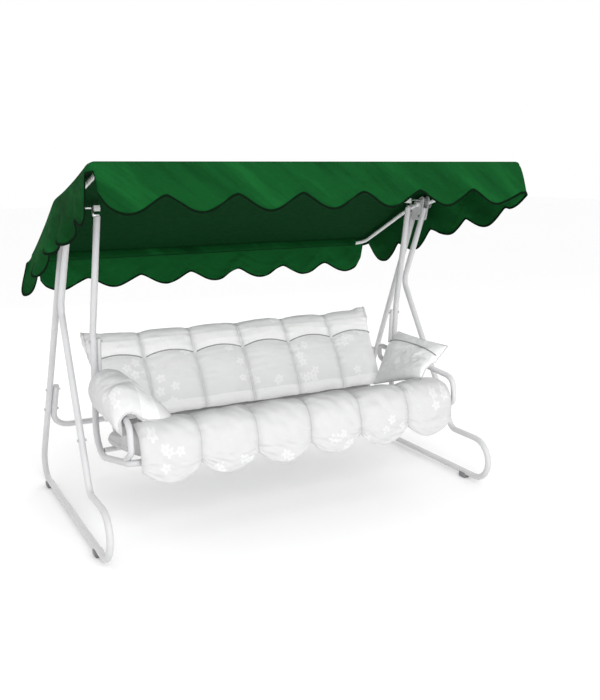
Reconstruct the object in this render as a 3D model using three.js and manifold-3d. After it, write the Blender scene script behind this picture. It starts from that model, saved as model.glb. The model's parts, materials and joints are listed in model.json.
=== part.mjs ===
// Three-seat canopy swing bench: two leaning side frames of bent steel tube, a seat hung from
// them on two arms, a tilting fabric canopy, and loose cushions.
// Millimetres. +Z is up, the bench faces -Y, X runs along the seat. The origin is on the ground
// under the middle of the bench.

import * as THREE from 'three';
import { mergeVertices } from 'three/addons/utils/BufferGeometryUtils.js';
import Module from 'manifold-3d';

// ---------------------------------------------------------------- driving dimensions

const GAP = 0.4; // clearance between touching pieces
const SECTION_SIDES = 12;

// Side frames. Each lies in a plane that leans inwards towards the top.
const FRAME_HALF_WIDTH = 1020; // frame plane to centre, at the ground
const FRAME_LEAN = 0.0304; // inward shift per unit of height
const TUBE = 30;
const GROUND_Z = 31; // centre of the ground tube
const REAR_FOOT_Y = 721; // where the rear leg's line meets the ground tube
const REAR_SLOPE = -0.4589; // dY/dZ of the rear leg
const LEG_SPACING = 81; // front leg's upper part to the rear leg, along Y
const LEG_TOP_Z = 1450;
const KNEE_Z = 1019; // where the front leg turns forward
const ANKLE = { y: -274, z: 247 }; // where the front leg meets the foot
const TOE_Y = -581; // foremost point of the foot's centre line
const FRONT_JOINT_Z = 430; // front leg to foot loop
const REAR_JOINT_Z = 489; // rear leg to foot loop
const KNEE_Y = REAR_FOOT_Y + REAR_SLOPE * (KNEE_Z - GROUND_Z) - LEG_SPACING;

// Rear crossbar, bolted to the inner side of the rear legs.
const CROSSBAR_Z = 321;
const CROSSBAR_TOP_Z = 567;
const CROSSBAR_BOLT_Z = [430, 547];

// Pivots at the top of the frame.
const SWING_PIVOT = { y: -13, z: 1492 };
const CANOPY_PIVOT = { y: 22, z: 1465 };
const PLATE = 3;
const PIN = 12;

// Hanger arms and seat.
const ARM_X = 870; // centre of the arm at seat height
const ARM_TOP = { x: 852, y: -29, z: 1454 };
const ARM_KINK = { y: 86, z: 911 };
const ARM_HEEL = { y: 127, z: 279 };
const SEAT_FRONT = { y: -434, z: 414 };
const ARM_STUB_X = 790; // where the arm's front end meets the seat's front tube
const STAY_BOLT_Z = 858;
const SEAT_TUBE = 25;
const ARMREST_TUBE = 28;
const BACK_TUBE = 22;

// Canopy: outer edge points of the roof, seen from the side.
const ROOF_FRONT = { y: -675.7, z: 1694, halfWidth: 1056 };
const ROOF_RIDGE = { y: -26, z: 1538, halfWidth: 1040 };
const ROOF_REAR = { y: 652, z: 1226, halfWidth: 1022 };
const ROOF_THICKNESS = 5;
const VALANCE = 4;
const CANOPY_TUBE = 20;
const SCALLOPS = 7;

// ---------------------------------------------------------------- materials

const finish = (color, roughness, metalness) => new THREE.MeshStandardMaterial({ color, roughness, metalness });
const MATERIALS = {
  framePaint: finish(0xd4d4d6, 0.45, 0.3),
  whitePaint: finish(0xf0f0f0, 0.4, 0.2),
  zinc: finish(0xb9bcc0, 0.35, 0.9),
  whitePlastic: finish(0xe9e9e6, 0.5, 0),
  greyPlastic: finish(0x9a9c9e, 0.6, 0),
  canopyFabric: finish(0x1d5c2d, 0.8, 0),
  cushionFabric: finish(0xe8e8e8, 0.9, 0),
  seatMesh: finish(0xc9cacc, 0.8, 0),
};

// ---------------------------------------------------------------- solids and booleans

const wasm = await Module();
wasm.setup();

function toSolid(geometry) {
  const bare = geometry.clone();
  bare.deleteAttribute('normal');
  bare.deleteAttribute('uv');
  const merged = mergeVertices(bare, 1e-3);
  const vertProperties = new Float32Array(merged.attributes.position.array);
  const triVerts = new Uint32Array(merged.index.array);
  return new wasm.Manifold(new wasm.Mesh({ numProp: 3, vertProperties, triVerts }));
}

function toGeometry(solid) {
  const mesh = solid.getMesh();
  const geometry = new THREE.BufferGeometry();
  geometry.setAttribute('position', new THREE.BufferAttribute(mesh.vertProperties.slice(), 3));
  geometry.setIndex(new THREE.BufferAttribute(mesh.triVerts.slice(), 1));
  return geometry;
}

function join(...geometries) {
  return toGeometry(geometries.map(toSolid).reduce((sum, solid) => sum.add(solid)));
}

function cut(geometry, ...cutters) {
  return toGeometry(cutters.map(toSolid).reduce((rest, solid) => rest.subtract(solid), toSolid(geometry)));
}

// ---------------------------------------------------------------- bent tubes

const vec = (x, y, z) => new THREE.Vector3(x, y, z);

// A path of straight stretches joined by arcs. It is sampled at its own stations, so an
// extrusion takes one step along each straight and several round each bend.
class BentPath extends THREE.Curve {
  constructor(corners, stepsPerBend = 5) {
    super();
    this.stations = [];
    corners.forEach((corner, i) => {
      if (i === 0 || i === corners.length - 1) {
        const [from, to] = i === 0 ? [corner, corners[1]] : [corners[i - 1], corner];
        this.stations.push({ point: corner.at, tangent: to.at.clone().sub(from.at).normalize() });
      } else {
        this.stations.push(...arcStations(corners[i - 1].at, corner, corners[i + 1].at, stepsPerBend));
      }
    });
  }

  get steps() {
    return this.stations.length - 1;
  }

  station(u) {
    return this.stations[Math.round(u * this.steps)];
  }

  getPoint(u) {
    return this.station(u).point.clone();
  }

  getPointAt(u) {
    return this.getPoint(u);
  }

  getTangentAt(u) {
    return this.station(u).tangent.clone();
  }

  getSpacedPoints(divisions) {
    return Array.from({ length: divisions + 1 }, (_, i) => this.getPoint(i / divisions));
  }
}

function arcStations(before, corner, after, steps) {
  const inward = corner.at.clone().sub(before).normalize();
  const outward = after.clone().sub(corner.at).normalize();
  const angle = inward.angleTo(outward);
  const across = outward.clone().addScaledVector(inward, -Math.cos(angle)).normalize();
  const start = corner.at.clone().addScaledVector(inward, -corner.radius * Math.tan(angle / 2));
  const centre = start.clone().addScaledVector(across, corner.radius);
  return Array.from({ length: steps + 1 }, (_, i) => {
    const turn = (angle * i) / steps;
    const tangent = inward.clone().multiplyScalar(Math.cos(turn)).addScaledVector(across, Math.sin(turn));
    const spoke = inward.clone().multiplyScalar(Math.sin(turn)).addScaledVector(across, -Math.cos(turn));
    return { point: centre.clone().addScaledVector(spoke, corner.radius), tangent };
  });
}

const corner = (x, y, z, radius = 0) => ({ at: vec(x, y, z), radius });

function roundSection(diameter, sides = SECTION_SIDES) {
  const outer = diameter / 2 / Math.cos(Math.PI / sides);
  const points = Array.from({ length: sides }, (_, i) => {
    const angle = ((i + 0.5) * 2 * Math.PI) / sides;
    return new THREE.Vector2(outer * Math.cos(angle), outer * Math.sin(angle));
  });
  return new THREE.Shape(points);
}

function tube(corners, diameter, stepsPerBend) {
  const path = new BentPath(corners, stepsPerBend);
  return new THREE.ExtrudeGeometry(roundSection(diameter), { steps: path.steps, extrudePath: path });
}

// ---------------------------------------------------------------- small shared shapes

// A body of revolution about the X axis, centred on a point. profile is [[x, radius], ...].
function turnedAlongX(profile, at, side = 1, segments = SECTION_SIDES) {
  const points = profile.map(([x, radius]) => new THREE.Vector2(radius, x));
  const geometry = new THREE.LatheGeometry(points, segments);
  geometry.rotateZ(side > 0 ? -Math.PI / 2 : Math.PI / 2);
  return geometry.translate(at.x, at.y, at.z);
}

function rodAlongX(fromX, toX, y, z, diameter, segments = SECTION_SIDES) {
  const radius = diameter / 2;
  const length = Math.abs(toX - fromX);
  const profile = [[-length / 2, 0], [-length / 2, radius], [length / 2, radius], [length / 2, 0]];
  return turnedAlongX(profile, { x: (fromX + toX) / 2, y, z }, 1, segments);
}

// A bolt through everything between two X positions: domed head outside, nut inside.
function throughBolt(side, outerX, innerX, y, z, shank = 8) {
  const length = Math.abs(outerX - innerX);
  const head = 5;
  const nut = 6;
  const profile = [
    [-length - nut, 0], [-length - nut, shank * 0.8], [-length, shank * 0.8], [-length, shank / 2],
    [0, shank / 2], [0, shank], [head * 0.6, shank * 0.8], [head, shank * 0.4], [head, 0],
  ];
  return turnedAlongX(profile, { x: side * outerX, y, z }, side, 10);
}

function boltHole(side, y, z, nearX, shank = 8) {
  const reach = 60;
  return rodAlongX(side * (nearX - reach), side * (nearX + reach), y, z, shank + 1.2, 10);
}

// Convex outline round a set of circles [[y, z, radius], ...].
function hullOutline(circles, steps = 16) {
  const cloud = circles.flatMap(([y, z, radius]) =>
    Array.from({ length: steps }, (_, i) => {
      const angle = (i * 2 * Math.PI) / steps;
      return new THREE.Vector2(y + radius * Math.cos(angle), z + radius * Math.sin(angle));
    }));
  cloud.sort((a, b) => a.x - b.x || a.y - b.y);
  const turn = (o, a, b) => (a.x - o.x) * (b.y - o.y) - (a.y - o.y) * (b.x - o.x);
  const chain = (points) => points.reduce((hull, p) => {
    while (hull.length > 1 && turn(hull.at(-2), hull.at(-1), p) <= 1e-6) {
      hull.pop();
    }
    hull.push(p);
    return hull;
  }, []);
  const lower = chain(cloud);
  const upper = chain([...cloud].reverse());
  return [...lower.slice(0, -1), ...upper.slice(0, -1)];
}

// Extrudes an outline given in Y and Z along X, starting at x.
function extrudeAlongX(outline, x, thickness) {
  const geometry = new THREE.ExtrudeGeometry(new THREE.Shape(outline), { depth: thickness, bevelEnabled: false });
  geometry.applyMatrix4(new THREE.Matrix4().makeBasis(vec(0, 1, 0), vec(0, 0, 1), vec(1, 0, 0)));
  return geometry.translate(x, 0, 0);
}

// Moves every vertex by a function of its position.
function reshape(geometry, move) {
  const position = geometry.attributes.position;
  for (let i = 0; i < position.count; i += 1) {
    const moved = move(vec(position.getX(i), position.getY(i), position.getZ(i)));
    position.setXYZ(i, moved.x, moved.y, moved.z);
  }
  return geometry;
}

// ---------------------------------------------------------------- the assembly

const swingBench = new THREE.Group();

function addPart(name, geometry, material) {
  const mesh = new THREE.Mesh(geometry, material);
  mesh.name = name;
  swingBench.add(mesh);
}

const SIDES = [['left', -1], ['right', 1]];
const frameX = (z, offset = 0) => FRAME_HALF_WIDTH - FRAME_LEAN * z + offset;
const onFrame = (side, y, z, radius = 0, offset = 0) => corner(side * frameX(z, offset), y, z, radius);
const rearLegY = (z) => REAR_FOOT_Y + REAR_SLOPE * (z - GROUND_Z);
const frontLegY = (z) => {
  if (z > KNEE_Z) {
    return rearLegY(z) - LEG_SPACING;
  }
  return KNEE_Y + ((ANKLE.y - KNEE_Y) * (KNEE_Z - z)) / (KNEE_Z - ANKLE.z);
};

// ---------------------------------------------------------------- side frames

function footLoop(side) {
  const toeRadius = (ANKLE.z - GROUND_Z) / 2;
  const loop = tube([
    onFrame(side, frontLegY(FRONT_JOINT_Z), FRONT_JOINT_Z),
    onFrame(side, ANKLE.y, ANKLE.z, 60),
    onFrame(side, TOE_Y, ANKLE.z, toeRadius),
    onFrame(side, TOE_Y, GROUND_Z, toeRadius),
    onFrame(side, REAR_FOOT_Y, GROUND_Z, 100),
    onFrame(side, rearLegY(REAR_JOINT_Z - GAP), REAR_JOINT_Z - GAP),
  ], TUBE);
  const boltZ = CROSSBAR_BOLT_Z[0];
  return cut(loop, boltHole(side, rearLegY(boltZ), boltZ, frameX(boltZ)));
}

function frontLeg(side) {
  const bottomZ = FRONT_JOINT_Z + GAP;
  const leg = tube([
    onFrame(side, frontLegY(bottomZ), bottomZ),
    onFrame(side, KNEE_Y, KNEE_Z, 90),
    onFrame(side, frontLegY(LEG_TOP_Z), LEG_TOP_Z),
  ], TUBE);
  return cut(leg, ...legBolts(side).front.map(({ y, z }) => boltHole(side, y, z, frameX(z))));
}

function rearLeg(side) {
  const leg = tube([
    onFrame(side, rearLegY(REAR_JOINT_Z), REAR_JOINT_Z),
    onFrame(side, rearLegY(LEG_TOP_Z), LEG_TOP_Z),
  ], TUBE);
  return cut(leg, ...legBolts(side).rear.map(({ y, z }) => boltHole(side, y, z, frameX(z))));
}

const PLATE_BOLT_Z = 1400;
const FRONT_LEG_BOLT_Z = 459;

function legBolts() {
  return {
    front: [FRONT_LEG_BOLT_Z, PLATE_BOLT_Z].map((z) => ({ y: frontLegY(z), z })),
    rear: [CROSSBAR_BOLT_Z[1], PLATE_BOLT_Z].map((z) => ({ y: rearLegY(z), z })),
  };
}

// The two plates hold the leg tops, the canopy's pivot and the swing's pin.
const PLATE_NEAR = TUBE / 2 + 1; // frame plane to a plate's near face
const PLATE_FAR = PLATE_NEAR + PLATE;

function apexPlate(side, isOuter) {
  const outline = hullOutline([
    [SWING_PIVOT.y, SWING_PIVOT.z, 17],
    [CANOPY_PIVOT.y + 8, CANOPY_PIVOT.z + 6, 20],
    [frontLegY(PLATE_BOLT_Z), PLATE_BOLT_Z - 8, 14],
    [rearLegY(PLATE_BOLT_Z), PLATE_BOLT_Z - 8, 14],
  ]);
  const offset = isOuter ? PLATE_NEAR : -PLATE_FAR;
  const flat = extrudeAlongX(outline, side > 0 ? offset : -offset - PLATE, PLATE);
  const plate = reshape(flat, (p) => vec(p.x + side * frameX(p.z), p.y, p.z));
  const holes = [
    boltHole(side, frontLegY(PLATE_BOLT_Z), PLATE_BOLT_Z, frameX(PLATE_BOLT_Z)),
    boltHole(side, rearLegY(PLATE_BOLT_Z), PLATE_BOLT_Z, frameX(PLATE_BOLT_Z)),
    boltHole(side, CANOPY_PIVOT.y, CANOPY_PIVOT.z, frameX(CANOPY_PIVOT.z)),
    boltHole(side, SWING_PIVOT.y, SWING_PIVOT.z, frameX(SWING_PIVOT.z), PIN),
  ];
  return cut(plate, ...holes);
}

// A glide is a plastic saddle under the ground tube.
function glide(side, y) {
  const halfWidth = 20;
  const height = GROUND_Z - 3;
  const seat = TUBE / 2 + 1;
  const lip = Math.sqrt(seat ** 2 - (GROUND_Z - height) ** 2);
  const lipAngle = Math.asin((GROUND_Z - height) / seat);
  const shape = new THREE.Shape();
  shape.moveTo(-halfWidth + 5, 0);
  shape.lineTo(halfWidth - 5, 0);
  shape.lineTo(halfWidth, 8);
  shape.lineTo(halfWidth, height);
  shape.lineTo(lip, height);
  shape.absarc(0, GROUND_Z, seat, -lipAngle, -Math.PI + lipAngle, true);
  shape.lineTo(-halfWidth, height);
  shape.lineTo(-halfWidth, 8);
  const length = 44;
  const saddle = new THREE.ExtrudeGeometry(shape, { depth: length, bevelEnabled: false, curveSegments: 8 });
  saddle.rotateX(Math.PI / 2);
  return saddle.translate(side * frameX(GROUND_Z), y + length / 2, 0);
}

function buildSideFrames() {
  for (const [label, side] of SIDES) {
    addPart(`${label}_foot_loop`, footLoop(side), MATERIALS.framePaint);
    addPart(`${label}_front_leg`, frontLeg(side), MATERIALS.framePaint);
    addPart(`${label}_rear_leg`, rearLeg(side), MATERIALS.framePaint);
    addPart(`${label}_apex_outer_plate`, apexPlate(side, true), MATERIALS.framePaint);
    addPart(`${label}_apex_inner_plate`, apexPlate(side, false), MATERIALS.framePaint);
    addPart(`${label}_front_glide`, glide(side, -388), MATERIALS.greyPlastic);
    addPart(`${label}_rear_glide`, glide(side, 545), MATERIALS.greyPlastic);
  }
}

// ---------------------------------------------------------------- rear crossbar and frame bolts

const CROSSBAR_OFFSET = -(TUBE + 2);

function rearCrossbar() {
  const topY = rearLegY(CROSSBAR_TOP_Z);
  const lowY = rearLegY(CROSSBAR_Z);
  const bar = tube([
    onFrame(-1, topY, CROSSBAR_TOP_Z, 0, CROSSBAR_OFFSET),
    onFrame(-1, lowY, CROSSBAR_Z, 85, CROSSBAR_OFFSET),
    onFrame(1, lowY, CROSSBAR_Z, 85, CROSSBAR_OFFSET),
    onFrame(1, topY, CROSSBAR_TOP_Z, 0, CROSSBAR_OFFSET),
  ], TUBE);
  const holes = SIDES.flatMap(([, side]) =>
    CROSSBAR_BOLT_Z.map((z) => boltHole(side, rearLegY(z), z, frameX(z, CROSSBAR_OFFSET))));
  return cut(bar, ...holes);
}

function buildFrameBolts() {
  const skin = TUBE / 2 + 1;
  for (const [label, side] of SIDES) {
    CROSSBAR_BOLT_Z.forEach((z, i) => {
      const place = i === 0 ? 'lower' : 'upper';
      const bolt = throughBolt(side, frameX(z, skin), frameX(z, CROSSBAR_OFFSET - skin), rearLegY(z), z);
      addPart(`${label}_${place}_crossbar_bolt`, bolt, MATERIALS.zinc);
    });
    const z = FRONT_LEG_BOLT_Z;
    const jointBolt = throughBolt(side, frameX(z, skin), frameX(z, -skin), frontLegY(z), z);
    addPart(`${label}_leg_joint_bolt`, jointBolt, MATERIALS.zinc);
    const plateSkin = PLATE_FAR + 0.8;
    [['front', frontLegY], ['rear', rearLegY]].forEach(([place, legY]) => {
      const at = PLATE_BOLT_Z;
      const bolt = throughBolt(side, frameX(at, plateSkin), frameX(at, -plateSkin), legY(at), at);
      addPart(`${label}_${place}_apex_bolt`, bolt, MATERIALS.zinc);
    });
  }
}

// ---------------------------------------------------------------- swing: pins, hooks and arms

const HOOK = { thickness: 6, width: 24 };

// The pin is welded flush into the outer plate and capped past the bearing block.
function hangerPin(side) {
  const outer = frameX(SWING_PIVOT.z, PLATE_FAR);
  const inner = ARM_TOP.x - 16;
  const radius = PIN / 2;
  const length = outer - inner;
  const profile = [
    [-length - 5, 0], [-length - 5, 8], [-length - 3, 11], [-length, 11], [-length, radius], [0, radius], [0, 0],
  ];
  return turnedAlongX(profile, { x: side * outer, y: SWING_PIVOT.y, z: SWING_PIVOT.z }, side);
}

// A plastic block turns on the pin and carries the steel hook of the arm.
function bearingBlock(side) {
  const outline = [
    new THREE.Vector2(SWING_PIVOT.y - 24, SWING_PIVOT.z - 15),
    new THREE.Vector2(SWING_PIVOT.y + 24, SWING_PIVOT.z - 15),
    new THREE.Vector2(SWING_PIVOT.y + 24, SWING_PIVOT.z + 11),
    new THREE.Vector2(SWING_PIVOT.y - 24, SWING_PIVOT.z + 11),
  ];
  const depth = 28;
  const centreX = side * ARM_TOP.x;
  const block = extrudeAlongX(outline, centreX - depth / 2, depth);
  return cut(block, boltHole(side, SWING_PIVOT.y, SWING_PIVOT.z, ARM_TOP.x, PIN));
}

// The hook strap runs down the outside of the block and is bent in under it, onto the arm.
function hangerHook(side) {
  const nearX = ARM_TOP.x + 14 + 1;
  const outline = hullOutline([
    [SWING_PIVOT.y, SWING_PIVOT.z, 15],
    [ARM_TOP.y, ARM_TOP.z + 12, 9],
  ], 12);
  const strap = extrudeAlongX(outline, side > 0 ? nearX : -nearX - HOOK.thickness, HOOK.thickness);
  const footLength = 30;
  const foot = new THREE.BoxGeometry(footLength, 18, 8);
  foot.translate(side * (nearX + HOOK.thickness - footLength / 2 - 0.5), ARM_TOP.y, ARM_TOP.z + 4 + GAP);
  return cut(join(strap, foot), boltHole(side, SWING_PIVOT.y, SWING_PIVOT.z, nearX, PIN));
}

function armTube(side, diameter) {
  return tube([
    corner(side * ARM_TOP.x, ARM_TOP.y - 2, ARM_TOP.z + 10),
    corner(side * (ARM_X - 2), ARM_KINK.y, ARM_KINK.z, 160),
    corner(side * ARM_X, ARM_HEEL.y, ARM_HEEL.z, 122),
    corner(side * ARM_X, SEAT_FRONT.y, SEAT_FRONT.z, 48),
    corner(side * (ARM_STUB_X + GAP), SEAT_FRONT.y, SEAT_FRONT.z),
  ], diameter);
}

// The arm's top end is sawn level, under the hook's foot.
function hangerArm(side) {
  const sawn = new THREE.BoxGeometry(80, 80, 40);
  sawn.translate(side * ARM_TOP.x, ARM_TOP.y, ARM_TOP.z + 20);
  return cut(armTube(side, TUBE), sawn, boltHole(side, armY(STAY_BOLT_Z), STAY_BOLT_Z, ARM_X));
}

const armY = (z) => ARM_KINK.y + ((ARM_HEEL.y - ARM_KINK.y) * (ARM_KINK.z - z)) / (ARM_KINK.z - ARM_HEEL.z);

// A short tube doubles the arm on its inner side, from the bolt down to the armrest.
const STAY = { diameter: 20, x: ARM_X - TUBE / 2 - 14, top: 874, bottom: 684 };

function armStay(side) {
  const stay = tube([
    corner(side * STAY.x, armY(STAY.top), STAY.top),
    corner(side * STAY.x, armY(STAY.bottom), STAY.bottom),
  ], STAY.diameter);
  return cut(stay, boltHole(side, armY(STAY_BOLT_Z), STAY_BOLT_Z, STAY.x));
}

// The armrest rises from the arm's front end, passes inside the arm and turns back onto it.
// Both its ends are coped to fit round the arm.
function armrest(side) {
  const innerX = ARM_X - TUBE / 2 - ARMREST_TUBE / 2 - 5;
  const rest = tube([
    corner(side * ARM_X, -378, 417),
    corner(side * ARM_X, -456, 468, 42),
    corner(side * ARM_X, -446, 590, 62),
    corner(side * innerX, 90, 645, 160),
    corner(side * innerX, 208, 652, 34),
    corner(side * (innerX + 6), 194, 566, 34),
    corner(side * (ARM_X - 2), armY(566) + 4, 566),
  ], ARMREST_TUBE, 4);
  return cut(rest, armTube(side, TUBE + 2 * GAP));
}

function buildSwing() {
  for (const [label, side] of SIDES) {
    addPart(`${label}_hanger_pin`, hangerPin(side), MATERIALS.zinc);
    addPart(`${label}_bearing_block`, bearingBlock(side), MATERIALS.whitePlastic);
    addPart(`${label}_hanger_hook`, hangerHook(side), MATERIALS.zinc);
    addPart(`${label}_hanger_arm`, hangerArm(side), MATERIALS.framePaint);
    addPart(`${label}_arm_stay`, armStay(side), MATERIALS.framePaint);
    const stayBolt = throughBolt(
      side, ARM_X + TUBE / 2 + 1, STAY.x - STAY.diameter / 2 - 1, armY(STAY_BOLT_Z), STAY_BOLT_Z);
    addPart(`${label}_stay_bolt`, stayBolt, MATERIALS.zinc);
    addPart(`${label}_armrest`, armrest(side), MATERIALS.framePaint);
  }
}

// ---------------------------------------------------------------- seat and backrest frames

const SEAT_REAR = { y: 44, z: 330 };
const BACK = {
  x: 760, // side tubes
  low: { y: 140, z: 332 },
  high: { y: 440, z: 800 },
};
const backLength = Math.hypot(BACK.high.y - BACK.low.y, BACK.high.z - BACK.low.z);
const BACK_UP = vec(0, (BACK.high.y - BACK.low.y) / backLength, (BACK.high.z - BACK.low.z) / backLength);
const BACK_NORMAL = vec(0, -BACK_UP.z, BACK_UP.y); // towards the sitter

function buildSeatFrame() {
  const frontTube = rodAlongX(-ARM_STUB_X, ARM_STUB_X, SEAT_FRONT.y, SEAT_FRONT.z, SEAT_TUBE + 2);
  addPart('seat_front_tube', frontTube, MATERIALS.framePaint);
  const rearReach = ARM_X - TUBE / 2 - 1.5;
  const rearTube = rodAlongX(-rearReach, rearReach, SEAT_REAR.y, SEAT_REAR.z, SEAT_TUBE);
  addPart('seat_rear_tube', rearTube, MATERIALS.framePaint);
  addPart('seat_mesh', meshPanel(SEAT_REAR, SEAT_FRONT, 780, SEAT_TUBE / 2 + 2), MATERIALS.seatMesh);
  const frameStart = SEAT_REAR.y + SEAT_TUBE / 2 + 1;
  const backFrame = tube([
    corner(-BACK.x, frameStart, BACK.low.z),
    corner(-BACK.x, BACK.low.y, BACK.low.z, 40),
    corner(-BACK.x, BACK.high.y, BACK.high.z, 70),
    corner(BACK.x, BACK.high.y, BACK.high.z, 70),
    corner(BACK.x, BACK.low.y, BACK.low.z, 40),
    corner(BACK.x, frameStart, BACK.low.z),
  ], BACK_TUBE);
  addPart('backrest_frame', backFrame, MATERIALS.framePaint);
  const lowEnd = { y: BACK.low.y + 50 * BACK_UP.y, z: BACK.low.z + 50 * BACK_UP.z };
  const backPanel = meshPanel(lowEnd, BACK.high, BACK.x - 13.5, BACK_TUBE / 2 + 2, 45);
  addPart('backrest_mesh', backPanel, MATERIALS.seatMesh);
}

// A flat panel laced between two lines that run along X. Its far corners may be cut off.
function meshPanel(from, to, halfWidth, endGap, chamfer = 0) {
  const thickness = 5;
  const along = vec(0, to.y - from.y, to.z - from.z);
  const half = along.length() / 2 - endGap;
  along.normalize();
  const outline = [
    [-halfWidth, -half], [halfWidth, -half], [halfWidth, half - chamfer], [halfWidth - chamfer, half],
    [chamfer - halfWidth, half], [-halfWidth, half - chamfer],
  ].filter(([x, up], i, all) => i === 0 || x !== all[i - 1][0] || up !== all[i - 1][1]);
  const shape = new THREE.Shape(outline.map(([x, up]) => new THREE.Vector2(x, up)));
  const panel = new THREE.ExtrudeGeometry(shape, { depth: thickness, bevelEnabled: false });
  panel.translate(0, 0, -thickness / 2);
  panel.applyMatrix4(new THREE.Matrix4().makeBasis(vec(1, 0, 0), along, vec(0, -along.z, along.y)));
  return panel.translate(0, (from.y + to.y) / 2, (from.z + to.z) / 2);
}

// ---------------------------------------------------------------- canopy

function roofAt(y) {
  const [a, b] = y < ROOF_RIDGE.y ? [ROOF_FRONT, ROOF_RIDGE] : [ROOF_RIDGE, ROOF_REAR];
  const t = (y - a.y) / (b.y - a.y);
  return { z: a.z + t * (b.z - a.z), halfWidth: a.halfWidth + t * (b.halfWidth - a.halfWidth) };
}

// A U of thin tube whose two ends are bosses on the canopy's pivot bolts.
function canopyTube(armX, barY, drop, pivotOffset) {
  const under = ROOF_THICKNESS + CANOPY_TUBE / 2 + drop;
  const bar = { y: barY, z: roofAt(barY).z - under };
  const reach = bar.y - CANOPY_PIVOT.y;
  const along = (share, x, radius) => corner(
    x, CANOPY_PIVOT.y + share * reach, CANOPY_PIVOT.z + share * (bar.z - CANOPY_PIVOT.z), radius);
  const pivotX = frameX(CANOPY_PIVOT.z, pivotOffset);
  const bow = tube([
    along(0.013, -pivotX),
    along(0.22, -pivotX, 150),
    along(1, -armX, 60),
    along(1, armX, 60),
    along(0.22, pivotX, 150),
    along(0.013, pivotX),
  ], CANOPY_TUBE, 4);
  const bosses = SIDES.map(([, side]) => rodAlongX(
    side * (pivotX - CANOPY_TUBE / 2), side * (pivotX + CANOPY_TUBE / 2), CANOPY_PIVOT.y, CANOPY_PIVOT.z, 30));
  const holes = SIDES.map(([, side]) => boltHole(side, CANOPY_PIVOT.y, CANOPY_PIVOT.z, pivotX));
  return cut(join(bow, ...bosses), ...holes);
}

const BOSS_OFFSET = PLATE_FAR + CANOPY_TUBE / 2 + 2;

// A row of scallops hung from a line, as points along distance and depth.
function scallops(length, count, peak, bottom, stepsEach = 8) {
  const total = count * stepsEach;
  return Array.from({ length: total + 1 }, (_, i) => {
    const phase = (i / stepsEach) % 1;
    const depth = peak(i / total) + (bottom(i / total) - peak(i / total)) * Math.sin(Math.PI * phase) ** 0.8;
    return new THREE.Vector2((i / total) * length, depth);
  });
}

const FRONT_DEPTH = { peak: 125, bottom: 190 };
const REAR_DEPTH = { peak: 138, bottom: 194 };

function endValance(edge, depth, outward) {
  const top = edge.z - ROOF_THICKNESS - 1;
  const halfWidth = edge.halfWidth;
  const atCorner = (t) => Math.min(1, Math.min(t, 1 - t) * SCALLOPS * 4) ** 0.7;
  const edgePoints = scallops(
    2 * halfWidth, SCALLOPS, (t) => 40 + (depth.peak - 40) * atCorner(t), () => depth.bottom);
  const outline = [
    new THREE.Vector2(-halfWidth, top),
    ...edgePoints.map((p) => new THREE.Vector2(p.x - halfWidth, top - p.y)),
    new THREE.Vector2(halfWidth, top),
  ];
  const sheet = new THREE.ExtrudeGeometry(new THREE.Shape(outline), { depth: VALANCE, bevelEnabled: false });
  sheet.rotateX(Math.PI / 2);
  return sheet.translate(0, edge.y + (outward > 0 ? VALANCE + GAP : -GAP), 0);
}

// Side flaps hang from the roof's edge and flare outwards. The scallops deepen towards the
// front, and start from a notch at the rear corner.
const FLAP = { scallops: 4.5, peak: 185, bottom: 250, rearPeak: 90, notch: 40, flare: 34 };
const REAR_SCALLOP = { left: { bottom: 240, flare: 55 }, right: { bottom: 175, flare: 90 } };

const towardsFront = (rear, front, t) => rear + (front - rear) * Math.min(1, 2 * t);

function flapHang(t, phase, rearBottom) {
  if (t === 0) {
    return FLAP.notch;
  }
  const peak = towardsFront(FLAP.rearPeak, FLAP.peak, t);
  const bottom = towardsFront(rearBottom, FLAP.bottom, t);
  return peak + (bottom - peak) * phase ** 0.8;
}

function sideFlap(side, rearScallop) {
  const rear = ROOF_REAR.y - 2;
  const front = ROOF_FRONT.y + 2;
  const stepsEach = 8;
  const total = FLAP.scallops * stepsEach;
  const topZ = (y) => roofAt(y).z - ROOF_THICKNESS - 1;
  const lower = Array.from({ length: total + 1 }, (_, i) => {
    const y = rear - (i / total) * (rear - front);
    const phase = Math.abs(Math.sin((Math.PI * i) / stepsEach));
    return new THREE.Vector2(y, topZ(y) - flapHang(i / total, phase, rearScallop.bottom));
  });
  const upper = [front, ROOF_RIDGE.y, rear].map((y) => new THREE.Vector2(y, topZ(y)));
  const flat = extrudeAlongX([...lower, ...upper], side > 0 ? -VALANCE : 0, VALANCE);
  return reshape(flat, (p) => {
    const full = towardsFront(rearScallop.flare, FLAP.flare, (rear - p.y) / (rear - front));
    const flare = (full * (topZ(p.y) - p.z)) / FLAP.bottom;
    return vec(p.x + side * (roofAt(p.y).halfWidth + flare), p.y, p.z);
  });
}

function canopyRoof() {
  const outline = [ROOF_FRONT, ROOF_RIDGE, ROOF_REAR].map(({ y, z }) => new THREE.Vector2(y, z));
  const under = [...outline].reverse().map((p) => new THREE.Vector2(p.x, p.y - ROOF_THICKNESS));
  const roof = extrudeAlongX([...under, ...outline], -1, 2);
  return reshape(roof, (p) => vec(p.x * roofAt(p.y).halfWidth, p.y, p.z));
}

function starKnob(side) {
  const profile = [[0, 5], [0, 10], [3, 12], [5, 24], [12, 25], [15, 20], [15, 5], [0, 5]];
  const x = frameX(CANOPY_PIVOT.z, BOSS_OFFSET + CANOPY_TUBE / 2 + 1);
  return turnedAlongX(profile, { x: side * x, y: CANOPY_PIVOT.y, z: CANOPY_PIVOT.z }, side, 10);
}

const REAR_ARM_SPREAD = 44; // the rear tube's arms splay out towards its bar

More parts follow.
